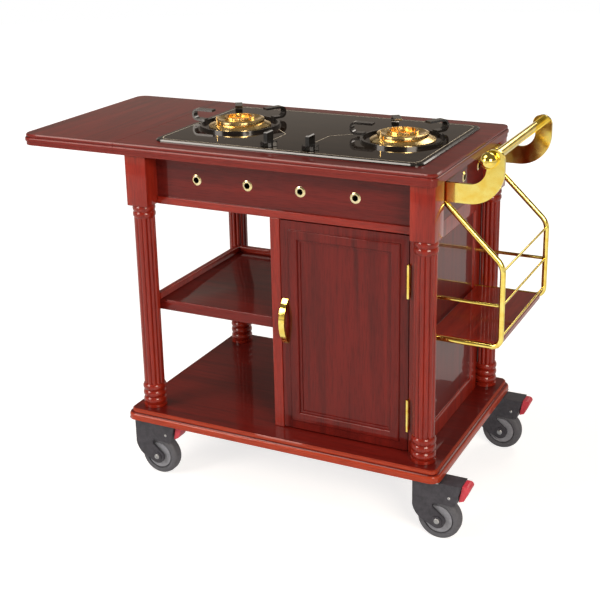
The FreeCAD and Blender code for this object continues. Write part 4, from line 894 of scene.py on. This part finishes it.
@dataclass
class CornerPosts(SubAssembly):
    """Four turned and reeded posts with square blocks at their heads."""

    post_x: float = 352
    post_y: float = 222
    foot: float = 175
    head: float = 813
    block_wide: float = 56
    block_high: float = 123
    plinth_high: float = 8
    foot_ring: tuple[float, float, int] = (57, 17.6, 3)
    neck_ring: tuple[float, float, int] = (54, 15, 2)
    ring_round: float = 13
    reeds: int = 12
    reed_circle: float = 19.2
    reed_radius: float = 5.6
    reed_samples: int = 10
    turned_steps: int = 56
    plinth_ease: float = 0.6
    plinth_quirk: float = 1
    ease: float = 2.2

    def beads(self, ring: tuple[float, float, int], foot: float,
              steps: int = 8) -> list[tuple[float, float]]:
        """Gives the profile of round beads that stand on each other.

        Args:
            ring: Widest diameter, height and number of the beads.
            foot: Lowest height.
            steps: Points along each round.

        Returns:
            Radius and height pairs from the foot to the top.
        """
        wide, high, count = ring
        reach = math.asin(high / 2 / self.ring_round)
        turns = [reach * (2 * k / steps - 1) for k in range(steps + 1)]
        return [(wide / 2 - self.ring_round * (1 - math.cos(t)),
                 low + high / 2 + self.ring_round * math.sin(t))
                for low in (foot + k * high for k in range(count)) for t in turns]

    def build(self) -> None:
        """Builds shafts, beads and blocks in place of the CAD posts."""
        places = [(sx * self.post_x, sy * self.post_y) for sx in (-1, 1) for sy in (-1, 1)]
        block_foot = self.head - self.block_high
        neck_foot = block_foot - self.neck_ring[1] * self.neck_ring[2]
        foot_top = self.foot + self.plinth_high + self.foot_ring[1] * self.foot_ring[2]
        turned, blocks = bmesh.new(), bmesh.new()
        wide = self.foot_ring[0] / 2
        foot_profile = [(0.0, self.foot), (wide - self.plinth_ease, self.foot),
                        (wide, self.foot + self.plinth_ease),
                        (wide, self.foot + self.plinth_high - self.plinth_quirk)]
        foot_profile += self.beads(self.foot_ring, self.foot + self.plinth_high)
        foot_profile.append((0.0, foot_top))
        neck_profile = [(0.0, neck_foot), *self.beads(self.neck_ring, neck_foot), (0.0, block_foot)]
        for x, y in places:
            axis = seat(at(x, y, 0), Vector((0, 0, 1)))
            lathe(turned, foot_profile, axis, self.turned_steps)
            lathe(turned, neck_profile, axis, self.turned_steps)
            half = self.block_wide / 2
            rounded_box(blocks, at(x - half, y - half, block_foot), at(x + half, y + half, self.head),
                        self.ease * MM, 3)
        wood = self.palette.solid["z"]
        attach(new_piece("post_beads", mesh_of(turned), wood), "carcass", ("corner_posts",))
        attach(new_piece("post_blocks", mesh_of(blocks), wood), "carcass")
        middles = [at(x, y, (foot_top + neck_foot) / 2) for x, y in places]
        shafts = grow("post_shafts", reeded_tree(), middles, {
            "Reeds": self.reeds, "Samples": self.reeds * self.reed_samples,
            "Reed circle": self.reed_circle * MM, "Reed radius": self.reed_radius * MM,
            "Length": (neck_foot - foot_top) * MM}, wood)
        attach(shafts, "carcass")


@dataclass
class Carcass(SubAssembly):
    """Boards, aprons, cupboard walls and the open shelf."""

    arris: float = 1.6

    def build(self) -> None:
        """Eases the arrises of the sharp boards and gives each board the grain of its length."""
        solid, panel = self.palette.solid, self.palette.panel
        dress(("top_board",), self.palette.lipped_and_edge_lit["top"])
        dress(("base_board",), self.palette.lipped_and_edge_lit["base"])
        dress(("hob_deck", "front_apron", "back_apron"), panel["x"])
        dress(("right_apron", "left_apron"), panel["y"])
        dress(("cupboard_back", "side_field"), panel["z"])
        dress(("door_catch",), solid["z"])
        dress(("vent_eyelets",), self.palette.eyelet)
        for node, finish in (
                ("front_rail", solid["x"]), ("tray_gallery", solid["x"]), ("tray_shelf", panel["x"]),
                ("corner_stile", solid["z"]), ("side_frame", solid["z"]), ("cupboard_divider", solid["z"])):
            softened(node, node + "_eased", self.arris, finish, "carcass")


@dataclass
class DropLeaf(SubAssembly):
    """The leaf with its butt hinges and folding stays."""

    screws: ScrewSet
    seam_x: float = -403.5
    hinge_y: float = 150
    plate_z: float = 811.5
    screw_out: float = 19
    screw_pitch: float = 24
    tab_half: float = 10
    foot_drop: float = 20
    tab: Point = (-521.5, 66, 811)
    foot: Point = (-342, 83, 711)

    def build(self) -> None:
        """Dresses leaf, hinges and stays and drives their screws."""
        brass = self.palette.brass
        dress(("leaf_board",), self.palette.lipped_and_edge_lit["leaf"])
        dress(("leaf_hinge_top_leaves", "leaf_hinge_drop_leaves", "hinge_pins", "stay_upper_links",
               "stay_lower_links", "stay_leaf_tabs", "stay_apron_brackets"), brass)
        down = Vector((0, 0, -1))
        rows = [side * self.hinge_y + step * self.screw_pitch for side in (-1, 1) for step in (-1, 0, 1)]
        tabs = [(at(self.tab[0] + end * self.tab_half, side * self.tab[1], self.tab[2]), down)
                for side in (-1, 1) for end in (-1, 1)]
        feet = [(at(self.foot[0], side * self.foot[1], self.foot[2] - drop), Vector((-1, 0, 0)))
                for side in (-1, 1) for drop in (0, self.foot_drop)]
        leaf = [(at(self.seam_x - self.screw_out, y, self.plate_z), down) for y in rows]
        top = [(at(self.seam_x + self.screw_out, y, self.plate_z), down) for y in rows]
        self.screws.set_in("leaf_screws", leaf + tabs, brass, "leaf", Slot.BRASS)
        self.screws.set_in("top_hinge_screws", top + feet, brass, "carcass", Slot.BRASS)


@dataclass
class Door(SubAssembly):
    """The framed door with its hinges and bow pull."""

    arris: float = 1.2

    def build(self) -> None:
        """Dresses the door."""
        softened("door_frame", "door_frame_eased", self.arris, self.palette.panel["z"], "door")
        dress(("door_panel",), self.palette.panel["z"])
        dress(("door_pull", "door_hinge_stile_leaves", "door_hinge_door_leaves"), self.palette.brass)


@dataclass
class Hob(SubAssembly):
    """Glass hob with two burners, their pan supports and star knobs."""

    glass_top: float = 845.6
    burners: tuple[tuple[float, float], ...] = ((-206, -8), (214, -8))
    crown_radius: float = 36
    crown_port_high: float = 19
    crown_ports: int = 36
    skirt_radius: float = 59
    skirt_port_high: float = 13.4
    skirt_ports: int = 54
    port_radius: float = 1.25
    line_wide: float = 1.5
    line_rise: float = 0.06
    highlight_in: float = 5
    highlight_round: float = 22
    corner_steps: int = 6
    port_deep: float = 0.5
    marks: tuple[tuple[tuple[float, float], ...], ...] = (
        ((-64, -126), (-60, -104), (-60, -52), (-98, -14)),
        ((33, -122), (40, -99), (44, -34), (86, 2), (124, 2)))

    def print_lines_and_paint_highlight(self) -> None:
        """Prints the lines that lead from each knob to its burner, and draws a pale line near the edge that
        paints the highlight of the glass's bevelled edge.
        """
        build = bmesh.new()
        low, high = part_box("hob_glass")
        # The line round the edge is painted highlight: a pale cream line where the glass's bevelled edge
        # catches light.
        inset = self.highlight_in * MM
        left, right, front, back = low.x + inset, high.x - inset, low.y + inset, high.y - inset
        rounding = self.highlight_round * MM
        corners = [(right - rounding, back - rounding, 0), (left + rounding, back - rounding, 90),
                   (left + rounding, front + rounding, 180), (right - rounding, front + rounding, 270)]
        turns = [step * 90 / self.corner_steps for step in range(self.corner_steps + 1)]
        highlight_line = [Vector((x + rounding * math.cos(math.radians(start + turn)),
                          y + rounding * math.sin(math.radians(start + turn)), 0))
                  for x, y, start in corners for turn in turns]
        paths = [highlight_line + [highlight_line[0], highlight_line[1]]]
        paths += [[at(x, y, 0) for x, y in mark] for mark in self.marks]
        half = self.line_wide / 2 * MM
        level = (self.glass_top + self.line_rise) * MM
        for path in paths:
            pairs = []
            for index, point in enumerate(path):
                before, after = path[max(index - 1, 0)], path[min(index + 1, len(path) - 1)]
                ahead = (after - before).normalized()
                aside = Vector((-ahead.y, ahead.x, 0)) * half
                pairs.append([build.verts.new((end.x, end.y, level))
                              for end in (point + aside, point - aside)])
            for first, second in zip(pairs, pairs[1:]):
                build.faces.new((first[0], first[1], second[1], second[0]))
        printed = new_piece("hob_printed_lines", plain_mesh(build), self.palette.ink_and_highlight)
        attach(printed, "carcass")

    def build(self) -> None:
        """Dresses the hob and adds its ports as discs of painted shade, its printed lines and a painted
        highlight line.
        """
        self.print_lines_and_paint_highlight()
        colours = self.palette
        dress(("hob_glass",), colours.glass)
        dress(("hob_rim", "pan_support_left", "pan_support_right"), colours.enamel)
        dress(("burner_feet", "burner_heads"), colours.burner)
        dress(("burner_box", "gas_taps"), colours.steel)
        dress(("knob_left", "knob_right"), colours.knob)
        # The ports are not cut: each is a thin dark disc that paints the shade inside a port hole.
        tree = port_tree()
        for word, radius, high, count in (
                ("crown", self.crown_radius, self.crown_port_high, self.crown_ports),
                ("skirt", self.skirt_radius, self.skirt_port_high, self.skirt_ports)):
            middles = [at(x, y, self.glass_top + high) for x, y in self.burners]
            ring = grow("burner_%s_ports" % word, tree, middles, {
                "Ports": count, "Ring radius": radius * MM, "Port radius": self.port_radius * MM,
                "Port depth": self.port_deep * MM}, colours.port_shade)
            attach(ring, "carcass")


@dataclass
class PushHandle(SubAssembly):
    """Brass bar between two scrolled brackets."""

    def build(self) -> None:
        """Dresses the handle."""
        dress(("handle_brackets", "handle_bar"), self.palette.brass)


@dataclass
class BottleRack(SubAssembly):
    """Bent brass tubes with rods and a wooden shelf."""

    def build(self) -> None:
        """Dresses the rack."""
        dress(("rack_frame_front", "rack_frame_back", "rack_rods"), self.palette.brass)
        softened("rack_shelf", "rack_shelf_eased", 2.0, self.palette.solid["y"], "carcass")


@dataclass
class Castors(SubAssembly):
    """Four braked swivel castors."""

    screws: ScrewSet
    stem_x: float = 366
    stem_y: float = 235
    trail: float = 33
    axle_z: float = 50
    head_out: float = 26
    pin_x: float = 60
    pin_z: float = 112
    pin_out: float = 23.5
    plate_foot: float = 145
    screw_x: float = 29
    screw_y: float = 23
    fork_ease: float = 1.6
    pedal_ease: float = 1.5

    def build(self) -> None:
        """Dresses plates, forks, wheels and pedals, and sets plate screws and axle caps."""
        dress(("castor_plates",), self.palette.steel)
        caps = ScrewSet(self.screws.tree, radius=6.5, rise=2.2, slotted=False)
        pins = ScrewSet(self.screws.tree, radius=3.4, rise=1.4, slotted=False)
        plates = []
        for depth, side_y in (("front", -1), ("back", 1)):
            for width, side_x in (("left", -1), ("right", 1)):
                corner = depth + "_" + width
                x, y = side_x * self.stem_x, side_y * self.stem_y
                softened("castor_fork_" + corner, "castor_fork_skin_" + corner, self.fork_ease,
                         self.palette.fork, "castor_" + corner)
                softened("castor_pedal_" + corner, "castor_pedal_skin_" + corner, self.pedal_ease,
                         self.palette.pedal, "pedal_" + corner)
                wheel = TwoShotWheel("two_shot_wheel_" + corner, (x + self.trail, y, self.axle_z))
                dress(("castor_wheel_" + corner,), wheel.build())
                heads = [(at(x + self.trail, y + side * self.head_out, self.axle_z), Vector((0, side, 0)))
                         for side in (-1, 1)]
                caps.set_in("axle_caps_" + corner, heads, self.palette.steel, "castor_" + corner,
                            Slot.STEEL)
                ends = [(at(x + self.pin_x, y + side * self.pin_out, self.pin_z), Vector((0, side, 0)))
                        for side in (-1, 1)]
                pins.set_in("pedal_pins_" + corner, ends, self.palette.steel, "castor_" + corner,
                            Slot.STEEL)
                plates += [(at(x + sx * self.screw_x, y + sy * self.screw_y, self.plate_foot),
                            Vector((0, 0, -1))) for sx in (-1, 1) for sy in (-1, 1)]
        self.screws.set_in("castor_plate_screws", plates, self.palette.steel, "carcass", Slot.STEEL)


# Studio
@dataclass
class Studio:
    """Plain white floor, soft lamps and the camera of the photograph."""

    eye: Point = (1.249626, -2.459741, 1.455777)
    azimuth: float = 26.494544168753933
    elevation: float = 17.83707188709435
    roll: float = 1.1397559593041573
    aim: Point = (0.05, 0, 0.5)
    horizon: float = 0.85
    zenith: float = 0.16
    focal: float = 71.234
    shift_y: float = -0.1
    floor_radius: float = 9.0
    lamps: tuple[tuple[str, Point, float, float, str], ...] = (
        ("right_softbox", (2.6, -2.4, 2.0), 1.5, 100.0, "#fff1e0"),
        ("left_softbox", (-2.2, -3.0, 1.9), 1.5, 70.0, "#fff6ec"),
        ("top_softbox", (-1.2, -0.9, 3.1), 1.5, 55.0, "#fff6ec"),
        ("back_softbox", (0.9, 2.6, 2.6), 1.6, 30.0, "#fff6ec"),
    )

    def build(self) -> None:
        """Builds floor, lamps, world and camera."""
        self.floor()
        self.light()
        self.world()
        self.camera()

    def floor(self) -> None:
        """Lays the floor."""
        build = bmesh.new()
        bmesh.ops.create_circle(build, cap_ends=True, segments=96, radius=self.floor_radius)
        paper = StudioPaper("white_studio_paper").build()
        new_piece("studio_floor", plain_mesh(build), paper)

    def light(self) -> None:
        """Hangs the softboxes, each turned towards the trolley."""
        for name, place, side, power, colour in self.lamps:
            lamp = bpy.data.lights.new(name, "AREA")
            lamp.shape = "SQUARE"
            lamp.size = side
            lamp.energy = power
            lamp.color = linear(colour)[:3]
            holder = in_scene(name, lamp)
            holder.location = place
            holder.rotation_euler = (Vector(self.aim) - Vector(place)).to_track_quat("-Z", "Y").to_euler()

    def world(self) -> None:
        """Fills the room: white at the horizon, where the floor ends, and grey overhead."""
        world = bpy.data.worlds.new("studio_room")
        bpy.context.scene.world = world
        world.use_nodes = True
        tree = world.node_tree
        tree.nodes.clear()
        coords = add(tree, "ShaderNodeTexCoord")
        parts = add(tree, "ShaderNodeSeparateXYZ", {0: coords.outputs["Object"]})
        level = spread(tree, parts.outputs[2], (0.02, 0.24), (self.horizon, self.zenith))
        ray = add(tree, "ShaderNodeLightPath")
        room = add(tree, "ShaderNodeBackground", {"Color": linear("#fff0e0"), "Strength": level})
        white = add(tree, "ShaderNodeBackground", {"Color": linear("#ffffff"), "Strength": 1.0})
        chosen = add(tree, "ShaderNodeMixShader", {0: ray.outputs["Is Camera Ray"], 1: room.outputs[0],
                                                   2: white.outputs[0]})
        add(tree, "ShaderNodeOutputWorld", {"Surface": chosen.outputs[0]})

    def camera(self) -> None:
        """Sets the camera where the photograph was taken."""
        azimuth, elevation, roll = (math.radians(a) for a in (self.azimuth, self.elevation, self.roll))
        ahead = Vector((-math.sin(azimuth) * math.cos(elevation), math.cos(azimuth) * math.cos(elevation),
                        -math.sin(elevation)))
        level_right = ahead.cross(Vector((0, 0, 1))).normalized()
        level_down = ahead.cross(level_right)
        right = math.cos(roll) * level_right + math.sin(roll) * level_down
        down = -math.sin(roll) * level_right + math.cos(roll) * level_down
        data = bpy.data.cameras.new("camera")
        data.lens = self.focal
        data.sensor_width = 36
        data.shift_y = self.shift_y
        data.clip_end = 60
        camera = in_scene("camera", data)
        turn = Matrix((right, -down, -ahead)).transposed().to_4x4()
        camera.matrix_world = Matrix.Translation(Vector(self.eye)) @ turn
        bpy.context.scene.camera = camera


def main() -> None:
    """Builds every sub-assembly and the studio."""
    logging.basicConfig(level=logging.INFO, format="%(name)s: %(message)s")
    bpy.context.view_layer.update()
    bpy.context.scene.view_settings.view_transform = "Standard"
    palette = Palette()
    screws = ScrewSet(screw_tree())
    assemblies: list[SubAssembly] = [
        Carcass(palette), CornerPosts(palette), DropLeaf(palette, screws), Door(palette), Hob(palette),
        PushHandle(palette), BottleRack(palette), Castors(palette, screws)]
    for assembly in assemblies:
        LOG.info("building %s", type(assembly).__name__)
        assembly.build()
    Studio().build()


if __name__ == "__main__":
    main()
